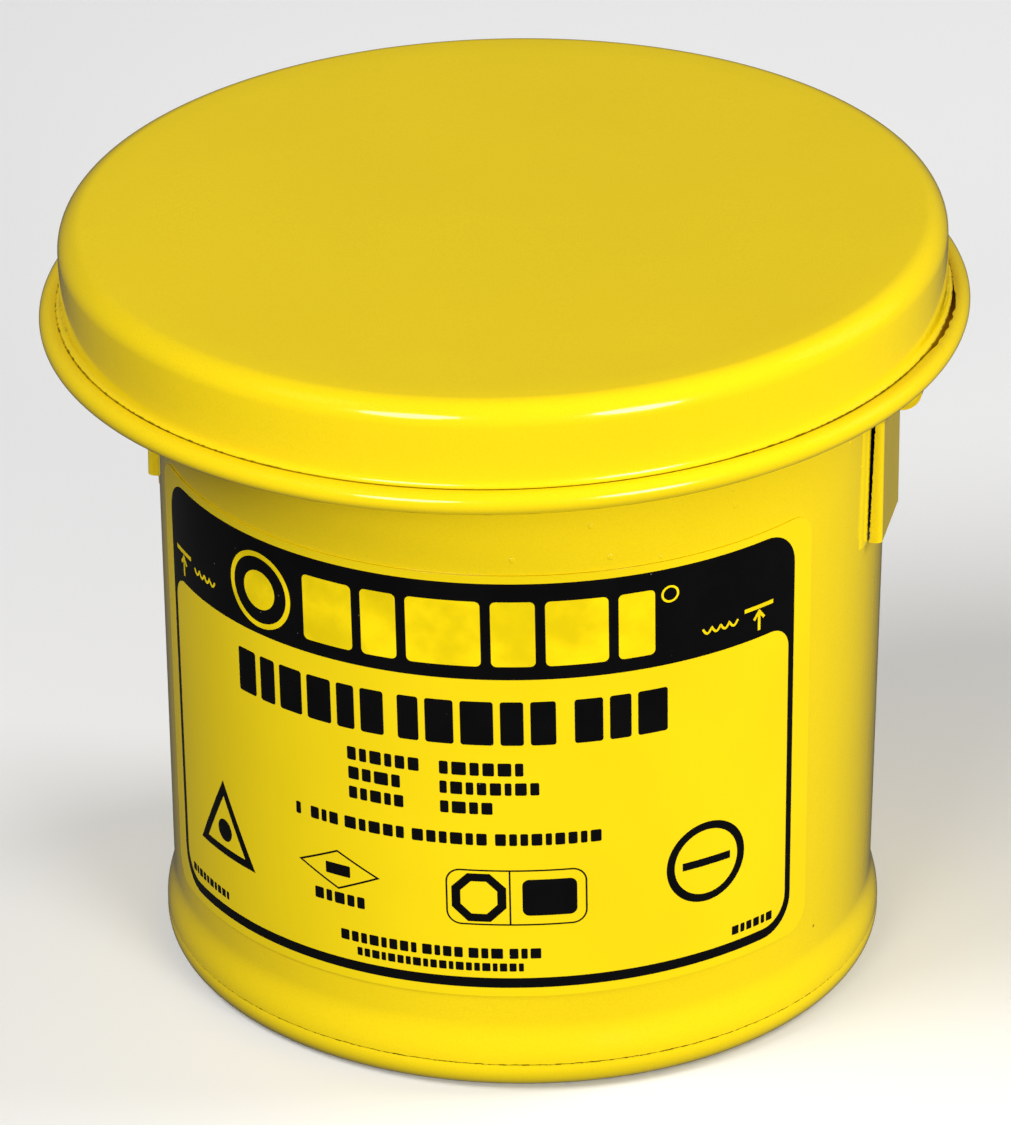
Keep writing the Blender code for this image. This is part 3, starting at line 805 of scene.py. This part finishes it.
def black_words():
    """Bars in place of words: a title in three groups and rows of small print, (low, high, words) in mm."""
    marks = []
    for left, right, count in ((-40.9, -10.5, 6), (-8.0, 18.8, 5), (21.9, 38.0, 3)):
        shares = 1 + 0.22 * np.sin(np.arange(count) * 1.9 + left)
        marks += greeked(left * MM, right * MM, 66.8 * MM, 75.1 * MM, shares, 1.15 * MM, 0.5 * MM)
    rows = [(60.9, 63.4, [(-17.5, -4.5), (-1.0, 13.2)]), (57.2, 59.6, [(-17.4, -7.9), (-1.0, 15.8)])]
    rows += [(53.5, 55.8, [(-17.4, -7.4), (-1.0, 7.9)])]
    rows += [(47.5, 49.8, [(-28.4, -27.4), (-25.3, -19.8), (-18.5, -7.5), (-6.1, 6.8), (8.2, 26.2)])]
    rows += [(25.5, 27.5, [(-20.0, -5.9), (-4.9, 2.2), (3.2, 9.1), (10.2, 15.6)])]
    rows += [(23.0, 24.6, [(-16.9, 12.6)]), (32.2, 34.4, [(-25.0, -15.2)])]
    rows += [(23.2, 24.7, [(-60.3, -47.0)]), (23.0, 24.7, [(50.6, 59.6)])]
    for low, high, words in rows:
        marks += small_words([(a * MM, b * MM) for a, b in words], low * MM, high * MM)
    return marks


def black_marks():
    """What is printed in black: the band and border, bars for words and a row of plain signs."""
    outer = rounded_outline(PRINT_ACROSS, PRINT_LOW, PRINT_TOP, PRINT_CORNER, PRINT_CORNER)
    inner = rounded_outline(PRINT_ACROSS - BORDER, PRINT_LOW + FOOT_BORDER, BAND_LOW, 4.2 * MM, 5.2 * MM)
    rings = [blend_grid(outer, inner, 8)]
    marks = black_words()
    triangle = (-47.4 * MM, 36.7 * MM)
    rings.append(polygon_ring(triangle, 9.7, 6.7, 3, math.pi / 2, 16))
    rings.append(polygon_ring(triangle, 2.1, 0.0, 24, columns=5))
    diamond = (-20.2 * MM, 38.8 * MM)
    half_axes = np.array((8.05, 3.8))
    rings.append(polygon_ring(diamond, half_axes, 0.9 * half_axes, 4, per_side=10))
    marks.append(block(-22.6 * MM, -17.8 * MM, 37.7 * MM, 39.9 * MM, 0.2 * MM))
    badge = []
    for inset in (0, 0.3 * MM):
        corner = 2.6 * MM - inset
        badge.append(rounded_outline(12.05 * MM - inset, 32 * MM + inset, 42.8 * MM - inset, corner, corner))
    rings.append(blend_grid(*[loop + points((11.6 * MM, 0)) for loop in badge]))
    marks.append(stroke(points((10.5 * MM, 32.1 * MM), (10.5 * MM, 42.7 * MM)), 0.3 * MM))
    rings.append(polygon_ring((5.2 * MM, 37.35 * MM), 5.05, 3.4, 8, math.pi / 8, 3))
    marks.append(block(12.6 * MM, 21.9 * MM, 33.9 * MM, 40.9 * MM, 1.2 * MM))
    rings.append(polygon_ring((45.4 * MM, 39.3 * MM), 7.7, 6.2, 72))
    marks.append(stroke(dense(points((40.7, 39.3), (50.1, 39.3)) * MM, PRINT_STEP), 1.5 * MM))
    return marks, rings


def pale_marks():
    """What is printed in yellow on the black band."""
    marks = fill_mark(-58.5, -1) + fill_mark(55.9, 1)
    marks += greeked(-25.2 * MM, 35.8 * MM, 81.8 * MM, 94.0 * MM, (9, 6, 12, 7, 10, 6), 1.7 * MM, 0.9 * MM)
    emblem, small = (-35.0 * MM, 87.7 * MM), (38.5 * MM, 92.6 * MM)
    rings = [polygon_ring(emblem, 7.1, 6.15, 72), polygon_ring(emblem, 3.6, 0.0, 48, columns=9)]
    rings.append(polygon_ring(small, 1.6, 1.2, 32))
    return marks, rings


def make_label(props):
    """Film over the front of the wall, with plain marks printed on it in black and in the ground colour."""
    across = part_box("label")
    half = WALL_RADIUS * math.asin(min(0.999, (across[1].x - across[0].x) / 2 / (WALL_RADIUS + FILM_LIFT)))
    half = max(half, PRINT_ACROSS + FILM_MARGIN)
    ground = finish_of("label_ground", film, tuple(props.ground))
    sheet_part = mark(block(-half, half, FILM_LOW, FILM_TOP, FILM_CORNER), FILM_LIFT, FILM)
    solid("label_film_cut", [sheet_part], ground, "can", ["label"])
    over = FILM_LIFT + FILM
    jobs = [("label_black_print", black_marks(), props.ink, over, (0.35, 0.33, 0.3))]
    jobs.append(("label_pale_print", pale_marks(), props.ground, over + PRINT_LIFT, (0.5, 0.35, 0.02)))
    for name, (marks, rings), colour, lift, dust in jobs:
        parts = [mark(m, lift, PRINT_LIFT) for m in marks]
        parts += [mark(m, lift, PRINT_LIFT, ring=True) for m in rings]
        solid(name, parts, finish_of(name + "_ink", ink, tuple(colour), dust), "can", [])


# ---------------------------------------------------------------- brackets and hinge


def channel(top, seed):
    """Web with two flanges turned back to the wall; their free edges follow it across a ragged gap."""
    half = BRACKET_WIDTH / 2
    web = BRACKET_FACE
    corner = BRACKET_BEND + BRACKET_SHEET / 2
    z = np.linspace(BRACKET_LOW, top, BRACKET_ROWS)
    reach = web - corner - 0.9 * MM
    path = [points((reach, -half)), bend((web - corner, -half + corner), corner, -math.pi / 2, 0)]
    path += [bend((web - corner, half - corner), corner, 0, math.pi / 2), points((reach, half))]
    path = dense(np.vstack(path), 1.0 * MM)
    faces = []
    for line in (path, beside(path, BRACKET_SHEET)):
        grid = np.empty((len(path), BRACKET_ROWS, 3))
        grid[..., 0], grid[..., 1], grid[..., 2] = line[:, :1], line[:, 1:], z
        for end in (0, -1):
            jag = 0.13 * MM * smooth_noise(BRACKET_ROWS, 72, seed + end)
            jag = jag + 0.08 * MM * smooth_noise(BRACKET_ROWS, 22, seed + 7 + end)
            gap = 0.50 * MM + 0.35 * MM * (z - BRACKET_LOW) / (top - BRACKET_LOW)
            grid[end, :, 0] = np.sqrt((wall_radius(z) + gap + jag) ** 2 - line[end, 1] ** 2)
        faces.append(grid)
    return slab(*faces)


def foot_strips(top, seed):
    """Thin strips on the wall beside a bracket's flanges, which leave a dark ragged crack between."""
    z = np.linspace(BRACKET_LOW + 0.3 * MM, top, BRACKET_ROWS)
    parts = []
    for side in (-1, 1):
        ragged = 0.05 * MM * smooth_noise(BRACKET_ROWS, 50, seed + side)
        share = np.array([0.0, 0.06, 0.3, 0.7, 0.9, 1.0])[None, :]
        rise = np.array([0.28, 0.33, 0.34, 0.30, 0.16, -0.05])[None, :] * MM
        across = BRACKET_WIDTH / 2 + 0.4 * MM + share * STRIP_WIDTH
        turn = side * across / WALL_RADIUS
        faces = []
        for lift in (rise + (1 - share) ** 4 * ragged[:, None], np.full_like(rise, -0.05 * MM)):
            r = wall_radius(z)[:, None] + lift
            places = np.broadcast_arrays(r * np.cos(turn), r * np.sin(turn), z[:, None])
            faces.append(np.stack(places, axis=-1))
        parts.append(slab(*faces))
    return parts


def knuckle(start, end, tail):
    """Sheet rolled round the pin, from a straight tail: an arc midway between bore and outside."""
    roll = bend((0, 0), KNUCKLE_RADIUS, start, end)
    return np.vstack([points(tail), roll])


def make_brackets(props):
    paint = yellow(props)
    wall_side = channel(WEB_TOP, 31)
    rise = -2.4 * BRACKET_SHEET - KNUCKLE_RADIUS
    roll = knuckle(math.pi, math.radians(-125), (-KNUCKLE_RADIUS, rise))
    half, slot_half = BRACKET_WIDTH / 2, STRAP_WIDTH / 2 + GAP
    parts = [moved(part, (CAN_X, 0, 0)) for part in [wall_side, *foot_strips(WEB_TOP, 61)]]
    for low, high in ((-half, -slot_half), (slot_half, half)):
        strap = ribbon(roll, -(KNUCKLE_RADIUS - BORE_RADIUS), low, high)
        parts.append(moved(strap, (CAN_X + HINGE_X, 0, HINGE_Z)))
    solid("hinge_bracket_bent", parts, paint, "can", ["hinge_bracket"], bevel=0.1 * MM)
    side = [channel(SIDE_BRACKET_TOP, 47), *foot_strips(SIDE_BRACKET_TOP, 71)]
    side = [moved(turned_about_z(part, math.pi), (CAN_X, 0, 0)) for part in side]
    solid("side_bracket_bent", side, paint, "can", ["side_bracket"], bevel=0.1 * MM)
    end = BRACKET_WIDTH / 2 + GAP
    dome = bend((0, end), (PIN_HEAD_RADIUS, PIN_HEAD), 0, math.pi / 2)
    outline = np.vstack([dome[::-1], points((PIN_RADIUS, end), (PIN_RADIUS, -end)), dome * (1, -1)])
    outline[:, 0] = np.maximum(outline[:, 0], 0)
    outline[[0, -1], 0] = 0
    pin, faces = turned(dense(outline), SMALL_STEPS)
    pin = (pin[:, [0, 2, 1]], faces)
    pin = moved(pin, (CAN_X + HINGE_X, 0, HINGE_Z))
    solid("hinge_pin_headed", [pin], paint, "can", ["hinge_pin"])


# ---------------------------------------------------------------- lid


def lid_outline():
    """Half section of the lid for each step round: the bead's free edge stops a little short, unevenly."""
    inner = LID_SKIRT - LID_SHEET
    inner_bend = LID_SHOULDER - LID_SHEET
    top = LID_HEIGHT - LID_SHEET
    under = [points((0.0, top)), bend((inner - inner_bend, top - inner_bend), inner_bend, math.pi / 2, 0)]
    inward = (BEAD_CENTRE - inner, BEAD_RADIUS)
    under += [bend((BEAD_CENTRE, 0), inward, math.pi, 1.5 * math.pi)]
    under = dense(np.vstack(under))
    ledge_x = LID_SKIRT + LEDGE_REACH
    ledge = bend((ledge_x, LEDGE_TOP), (LEDGE_REACH, LEDGE_TOP - LEDGE_FOOT), 1.5 * math.pi, math.pi)
    under_ledge = (LID_SKIRT + 0.3 * MM, LEDGE_FOOT - 0.55 * MM)
    over = [points(under_ledge, (ledge_x - 0.12 * MM, LEDGE_FOOT - 0.16 * MM)), ledge]
    over += [bend((LID_SKIRT - LID_SHOULDER, LID_HEIGHT - LID_SHOULDER), LID_SHOULDER, 0, math.pi / 2)]
    over = dense(np.vstack([*over, points((0.0, LID_HEIGHT))]))
    turn = np.linspace(0, 2 * math.pi, SEAM_STEPS, endpoint=False)
    from_open = np.angle(np.exp(1j * (turn - SEAM_OPEN)))
    open_side = np.exp(-((from_open / SEAM_OPEN_WIDTH) ** 4))
    gap = (0.95 * open_side * (1 + 0.25 * smooth_noise(SEAM_STEPS, 150, 4)) - 0.05) * MM
    end = BEAD_END - gap / BEAD_RADIUS
    share = np.linspace(0, 1, 36)[None, :]
    a = -math.pi / 2 + (end[:, None] + math.pi / 2) * share
    outer = np.stack([BEAD_CENTRE + BEAD_RADIUS * np.cos(a), BEAD_RADIUS * np.sin(a)], axis=-1)
    hollow = BEAD_RADIUS - LID_SHEET
    last = np.broadcast_to([-math.pi / 2, -math.pi], (len(a), 2))
    back = np.concatenate([a[:, ::-3], last], axis=1)
    inside = np.stack([BEAD_CENTRE + hollow * np.cos(back), hollow * np.sin(back)], axis=-1)
    under, over = (np.broadcast_to(line, (SEAM_STEPS, *line.shape)) for line in (under, over))
    return np.concatenate([under, outer[:, 1:], inside, over], axis=1)


def make_lid(props):
    paint = yellow(props)
    shell = turned_about_z(tilted(turned(lid_outline()), LID_TILT), LID_ASKEW)
    shell = moved(shell, (LID_X, LID_Y, BEAD_Z))
    solid("lid_formed", [shell], paint, "lid", ["lid_shell"])
    roll = knuckle(0.0, math.radians(-300), (KNUCKLE_RADIUS, STRAP_TOP - HINGE_Z))
    strap = ribbon(roll, -(KNUCKLE_RADIUS - BORE_RADIUS), -STRAP_WIDTH / 2, STRAP_WIDTH / 2)
    strap = moved(tilted(strap, LID_TILT), (CAN_X + HINGE_X, 0, HINGE_Z))
    solid("lid_strap_rolled", [strap], paint, "lid", ["lid_strap"], bevel=0.18 * MM)


# ---------------------------------------------------------------- dasher and spring


def dish_outline():
    """Flat edge under the screen's rim, bend and upright wall."""
    centre = (DASHER_RADIUS - DASHER_BEND, DASHER_BEND - SHEET)
    path = [points((SCREEN_RADIUS - 3.2 * MM, -SHEET)), bend(centre, DASHER_BEND, -math.pi / 2, 0)]
    return sheet(np.vstack([*path, points((DASHER_RADIUS, DASHER_WALL))]), SHEET)


def screen(pitch, hole):
    """Perforated disc: six-sided cells on a triangular grid, each a ring from its edge in to a round hole."""
    reach = int(SCREEN_RADIUS / pitch) + 1
    row = np.arange(-reach, reach + 1)[:, None]
    column = np.arange(-2 * reach, 2 * reach + 1)[None, :]
    row, column = np.broadcast_arrays(row, column)
    centre = np.stack([(column + row / 2) * pitch, row * pitch * math.sqrt(3) / 2], axis=-1).reshape(-1, 2)
    far = np.hypot(centre[:, 0], centre[:, 1])
    centre = centre[(far < SCREEN_RADIUS - 0.6 * pitch) & (far > RIVET_HEAD_RADIUS * 0.4)]
    a = np.arange(CELL_CORNERS) * 2 * math.pi / CELL_CORNERS
    edge = pitch / 2 / np.cos((a + math.pi / 6) % (math.pi / 3) - math.pi / 6)
    rings = [np.stack([r * np.cos(a), r * np.sin(a)], axis=-1) for r in (edge, np.full_like(a, hole / 2))]
    flat = centre[:, None, None] + np.stack(rings, axis=1)[None]
    grid = np.concatenate([flat, np.full((*flat.shape[:-1], 1), -0.02 * MM)], axis=-1)
    cells = quads(CELL_CORNERS, 2, True, False)
    faces = cells[None] + 2 * CELL_CORNERS * np.arange(len(centre))[:, None, None]
    return grid.reshape(-1, 3), faces.reshape(-1, 4)


def rivet_outline(low):
    """Domed head over the dish, shank and a smaller dome below the washer, whose foot is at low."""
    head = bend((0.0, GAP), (RIVET_HEAD_RADIUS, RIVET_HEAD), math.pi / 2, 0)
    tail = bend((0.0, low - GAP), (1.45 * RIVET_RADIUS, RIVET_HEAD - GAP), 0, -math.pi / 2)
    outline = np.vstack([head, points((RIVET_RADIUS, GAP), (RIVET_RADIUS, low - GAP)), tail])
    outline[[0, -1], 0] = 0
    return outline


def make_dasher(props):
    plating = zinc(props)
    at = (CAN_X, 0, DASHER_Z)
    dish = moved(turned(dish_outline()), at)
    solid("dasher_dish", [dish], plating, "dasher", ["dasher_plate"])
    holes = moved(screen(props.pitch, props.hole), at)
    mesh = solid("dasher_screen", [holes], plating, "dasher", [])
    thick = mesh.modifiers.new("gauge", "SOLIDIFY")
    thick.thickness = 0.75 * SHEET
    thick.offset = 1.0
    centre = (DASHER_RADIUS - SHEET / 2, DASHER_WALL + GAP + WIRE_RADIUS)
    ring = bend(centre, WIRE_RADIUS, 0, 2 * math.pi, math.radians(20))
    ring = moved(turned(ring[:-1]), at)
    solid("dasher_rim_wire", [ring], plating, "dasher", ["dasher_rim"])
    cap = cup_outline() * (1, -1)
    cap = moved(turned(cap, CUP_STEPS), (CAN_X, 0, DASHER_Z - SHEET - GAP))
    solid("spring_cap_drawn", [cap], plating, "dasher", ["spring_cap"])
    low = -(SHEET + GAP + SHEET + GAP + WASHER)
    rivet = moved(turned(rivet_outline(low), SMALL_STEPS), at)
    solid("dasher_rivet_set", [rivet], plating, "dasher", ["dasher_rivet"])
    hole = RIVET_RADIUS + GAP
    rise = low + WASHER
    ring = points((hole, low), (WASHER_RADIUS, low), (WASHER_RADIUS, rise), (hole, rise))
    washer = moved(turned(ring, SMALL_STEPS), at)
    solid("rivet_washer_flat", [washer], plating, "dasher", ["rivet_washer"], bevel=0.12 * MM)


def cup_outline():
    """Shallow cup from the outside of its floor, open upwards, with a small hole in the middle."""
    path = [points((RIVET_RADIUS + GAP, 0.0))]
    path += [bend((CUP_RADIUS - DASHER_BEND, DASHER_BEND), DASHER_BEND, -math.pi / 2, 0)]
    return sheet(np.vstack([*path, points((CUP_RADIUS, CUP_WALL))]), SHEET)


def coil():
    """Round wire along a helix: height = foot + rise * (s - sin(2 pi s) / (2 pi)), so its ends lie flat."""
    foot = PAN_FLOOR + GAP + SHEET + GAP + SPRING_WIRE
    top = DASHER_Z - SHEET - GAP - SHEET - GAP - SPRING_WIRE
    s = np.linspace(0, 1, SPRING_TURNS * SPRING_STEPS + 1)
    s = np.concatenate([s[:1], s, s[-1:]])[:, None]
    wire = np.full(s.shape, SPRING_WIRE)
    wire[[0, -1]] = 0
    turn = s * SPRING_TURNS * 2 * math.pi
    height = foot + (top - foot) * (s - np.sin(2 * math.pi * s) / (2 * math.pi))
    around = np.linspace(0, 2 * math.pi, SPRING_SIDES, endpoint=False)[None, :]
    r = SPRING_RADIUS + wire * np.cos(around)
    grid = np.stack([r * np.cos(turn), r * np.sin(turn), height + wire * np.sin(around)], axis=-1)
    return grid.reshape(-1, 3), quads(*grid.shape[:2], False, True)


def make_spring(props):
    seat = moved(turned(cup_outline(), CUP_STEPS), (CAN_X, 0, PAN_FLOOR + GAP))
    solid("spring_seat_drawn", [seat], zinc(props), "can", ["spring_seat"])
    wire = moved(coil(), (CAN_X, 0, 0))
    steel = spring_steel(props)
    spring = solid("dasher_spring_wire", [wire], steel, "can", ["dasher_spring"])
    low, high = (p.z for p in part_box("dasher_spring"))
    press = next(j for j in frame["joints"] if j["name"] == "dasher_press")
    travel = max(abs(v) for v in press["range_m"])
    keep = 1 - travel / (high - low)
    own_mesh(spring)


# ---------------------------------------------------------------- stage


def seen_from(turn, elevation, distance):
    """Point at that turn round the can from the label's middle, height angle and distance."""
    level = distance * math.cos(elevation)
    return Vector((CAN_X + level * math.sin(turn), -level * math.cos(turn), distance * math.sin(elevation)))


def soft_box(name, turn, elevation, width, height, roll, power, mirrored=True):
    """Elliptical soft light that faces the can, rolled about its own axis; a mirrored one is a highlight."""
    data = bpy.data.lights.new(name, "AREA")
    data.shape = "ELLIPSE"
    data.size = width
    data.size_y = height
    data.energy = power
    light = bpy.data.objects.new(name, data)
    light.location = seen_from(math.radians(turn) + VIEW_TURN, math.radians(elevation), LIGHT_DISTANCE)
    back = (light.location - Vector((CAN_X, 0, LIGHT_AIM))).normalized()
    light.rotation_mode = "QUATERNION"
    light.rotation_quaternion = back.to_track_quat("Z", "Y") @ Quaternion((0, 0, 1), math.radians(roll))
    light.visible_glossy = mirrored
    bpy.context.scene.collection.objects.link(light)


def make_camera():
    data = bpy.data.cameras.new("view")
    data.sensor_width = SENSOR
    data.lens = LENS
    data.clip_start, data.clip_end = 0.05, 60.0
    camera = bpy.data.objects.new("view", data)
    back = Vector((math.sin(VIEW_TURN), -math.cos(VIEW_TURN), math.tan(VIEW_ELEVATION))).normalized()
    aim = Vector((CAN_X + VIEW_ASIDE * math.cos(VIEW_TURN), VIEW_ASIDE * math.sin(VIEW_TURN), VIEW_HEIGHT))
    camera.location = aim + back * VIEW_DISTANCE
    camera.rotation_mode = "QUATERNION"
    camera.rotation_quaternion = back.to_track_quat("Z", "Y") @ Quaternion((0, 0, 1), VIEW_ROLL)
    bpy.context.scene.collection.objects.link(camera)
    bpy.context.scene.camera = camera


def make_stage(props):
    make_camera()
    corners = [(x * FLOOR_HALF, y * FLOOR_HALF, 0) for x, y in ((-1, -1), (1, -1), (1, 1), (-1, 1))]
    mesh = bpy.data.meshes.new("floor")
    mesh.from_pydata(corners, [], [(0, 1, 2, 3)])
    floor = bpy.data.objects.new("floor", mesh)
    floor.location.z = -FLOOR_DROP
    floor.visible_glossy = False
    floor.visible_diffuse = False
    bpy.context.scene.collection.objects.link(floor)
    finish = Finish("pale_floor", specular=0.0)
    finish.feed("Base Color", (*props.floor, 1.0))
    finish.feed("Roughness", 0.9)
    mesh.materials.append(finish.material)
    soft_box("left_box", -25, 30, 0.72, 0.56, 20, props.left_power)
    soft_box("right_box", 32, 19, 0.72, 0.56, -30, props.right_power)
    soft_box("low_front", 30, 9, 1.0, 0.45, 0, props.front_power, False)
    soft_box("high_left", -60, 50, 0.9, 0.9, 0, props.high_power, False)
    soft_box("far_right", 102, 32, 0.9, 1.2, 0, props.fill_power, False)
    world = bpy.data.worlds.new("studio")
    world.use_nodes = True
    sky = world.node_tree.nodes["Background"]
    sky.inputs["Color"].default_value = (1.0, 1.0, 1.0, 1.0)
    sky.inputs["Strength"].default_value = props.sky
    bpy.context.scene.world = world
    bpy.context.scene.view_settings.view_transform = "Standard"


# ---------------------------------------------------------------- add-on


def colour(name, description, default):
    return bpy.props.FloatVectorProperty(
        name=name, description=description, default=default, subtype="COLOR", size=3, min=0.0, max=1.0
    )


def power(name, description, default):
    return bpy.props.FloatProperty(name=name, description=description, default=default, min=0.0, unit="POWER")


class FinishProps(bpy.types.PropertyGroup):
    """Colours and texture of the finishes."""

    paint: colour("Enamel", "Colour of the baked enamel", (0.90, 0.655, 0.004))
    ground: colour("Label ground", "Colour of the film and of the marks on its band", (0.91, 0.675, 0.004))
    ink: colour("Label ink", "Colour of the label's print", (0.0035, 0.0032, 0.0035))
    plating: colour("Plating", "Colour of the plated steel", (0.62, 0.62, 0.60))
    peel: bpy.props.FloatProperty(
        name="Orange peel", description="Depth of the enamel's texture", default=1.0, min=0.0, max=5.0,
        subtype="FACTOR",
    )
    pitch: bpy.props.FloatProperty(
        name="Hole pitch", description="Distance between the screen's holes", default=4.0 * MM, min=2.5 * MM,
        max=12 * MM, subtype="DISTANCE", unit="LENGTH",
    )
    hole: bpy.props.FloatProperty(
        name="Hole diameter", description="Diameter of the screen's holes", default=2.2 * MM, min=0.5 * MM,
        max=8 * MM, subtype="DISTANCE", unit="LENGTH",
    )


class StageProps(bpy.types.PropertyGroup):
    """Floor and lights."""

    floor: colour("Floor", "Colour of the floor", (0.90, 0.90, 0.90))
    left_power: power("Left box", "Power of the left box, which shows as a highlight", 7.6)
    right_power: power("Right box", "Power of the right box, which shows as a highlight", 9.4)
    front_power: power("Low front", "Power of the low light in front", 19.0)
    high_power: power("High left", "Power of the high light on the left", 19.0)
    fill_power: power("Far right", "Power of the light behind the right side", 19.0)
    sky: bpy.props.FloatProperty(name="Sky", description="Strength of the even light", default=0.08)


class Piece:
    """What the operators share: each makes its pieces, or raises an error."""

    bl_options = {"REGISTER", "UNDO"}

    def execute(self, context):
        self.make(context.scene.bench_can)
        return {"FINISHED"}


class BENCH_OT_can(Piece, bpy.types.Operator):
    """Makes the can's wall and its base pan"""

    bl_idname = "bench_can.can"
    bl_label = "Wall and base"
    make = staticmethod(make_can)


class BENCH_OT_mouth(Piece, bpy.types.Operator):
    """Makes the mouth ring and the three stops inside it"""

    bl_idname = "bench_can.mouth"
    bl_label = "Mouth ring and stops"
    make = staticmethod(make_mouth)


class BENCH_OT_label(Piece, bpy.types.Operator):
    """Makes the label's film and its plain print"""

    bl_idname = "bench_can.label"
    bl_label = "Label"
    make = staticmethod(make_label)


class BENCH_OT_brackets(Piece, bpy.types.Operator):
    """Makes the two brackets and the hinge pin"""

    bl_idname = "bench_can.brackets"
    bl_label = "Brackets and pin"
    make = staticmethod(make_brackets)


class BENCH_OT_lid(Piece, bpy.types.Operator):
    """Makes the lid and its hinge strap"""

    bl_idname = "bench_can.lid"
    bl_label = "Lid"
    make = staticmethod(make_lid)


class BENCH_OT_dasher(Piece, bpy.types.Operator):
    """Makes the perforated dasher with its rim, cap, rivet and washer"""

    bl_idname = "bench_can.dasher"
    bl_label = "Dasher"
    make = staticmethod(make_dasher)


class BENCH_OT_spring(Piece, bpy.types.Operator):
    """Makes the spring and its seat"""

    bl_idname = "bench_can.spring"
    bl_label = "Spring"
    make = staticmethod(make_spring)


class BENCH_OT_stage(bpy.types.Operator):
    """Makes the floor, the lights and the camera"""

    bl_idname = "bench_can.stage"
    bl_label = "Studio"
    bl_options = {"REGISTER", "UNDO"}

    def execute(self, context):
        make_stage(context.scene.bench_stage)
        return {"FINISHED"}


PIECES = (
    BENCH_OT_can,
    BENCH_OT_mouth,
    BENCH_OT_label,
    BENCH_OT_brackets,
    BENCH_OT_lid,
    BENCH_OT_dasher,
    BENCH_OT_spring,
)


class BENCH_PT_panel(bpy.types.Panel):
    """Sidebar panel with the finishes and one button for each group of pieces"""

    bl_label = "Bench can"
    bl_idname = "BENCH_PT_panel"
    bl_space_type = "VIEW_3D"
    bl_region_type = "UI"
    bl_category = "Bench can"

    def draw(self, context):
        for group in (context.scene.bench_can, context.scene.bench_stage):
            for name in group.__annotations__:
                self.layout.prop(group, name)
        for operator in (*PIECES, BENCH_OT_stage):
            self.layout.operator(operator.bl_idname)


CLASSES = (FinishProps, StageProps, *PIECES, BENCH_OT_stage, BENCH_PT_panel)


def register():
    for cls in CLASSES:
        bpy.utils.register_class(cls)
    bpy.types.Scene.bench_can = bpy.props.PointerProperty(type=FinishProps)
    bpy.types.Scene.bench_stage = bpy.props.PointerProperty(type=StageProps)


def unregister():
    del bpy.types.Scene.bench_can
    del bpy.types.Scene.bench_stage
    for cls in reversed(CLASSES):
        bpy.utils.unregister_class(cls)


def main():
    register()
    bpy.ops.bench_can.stage()
    bpy.ops.bench_can.can()
    bpy.ops.bench_can.mouth()
    bpy.ops.bench_can.label()
    bpy.ops.bench_can.brackets()
    bpy.ops.bench_can.lid()
    bpy.ops.bench_can.dasher()
    bpy.ops.bench_can.spring()


if __name__ == "__main__":
    main()
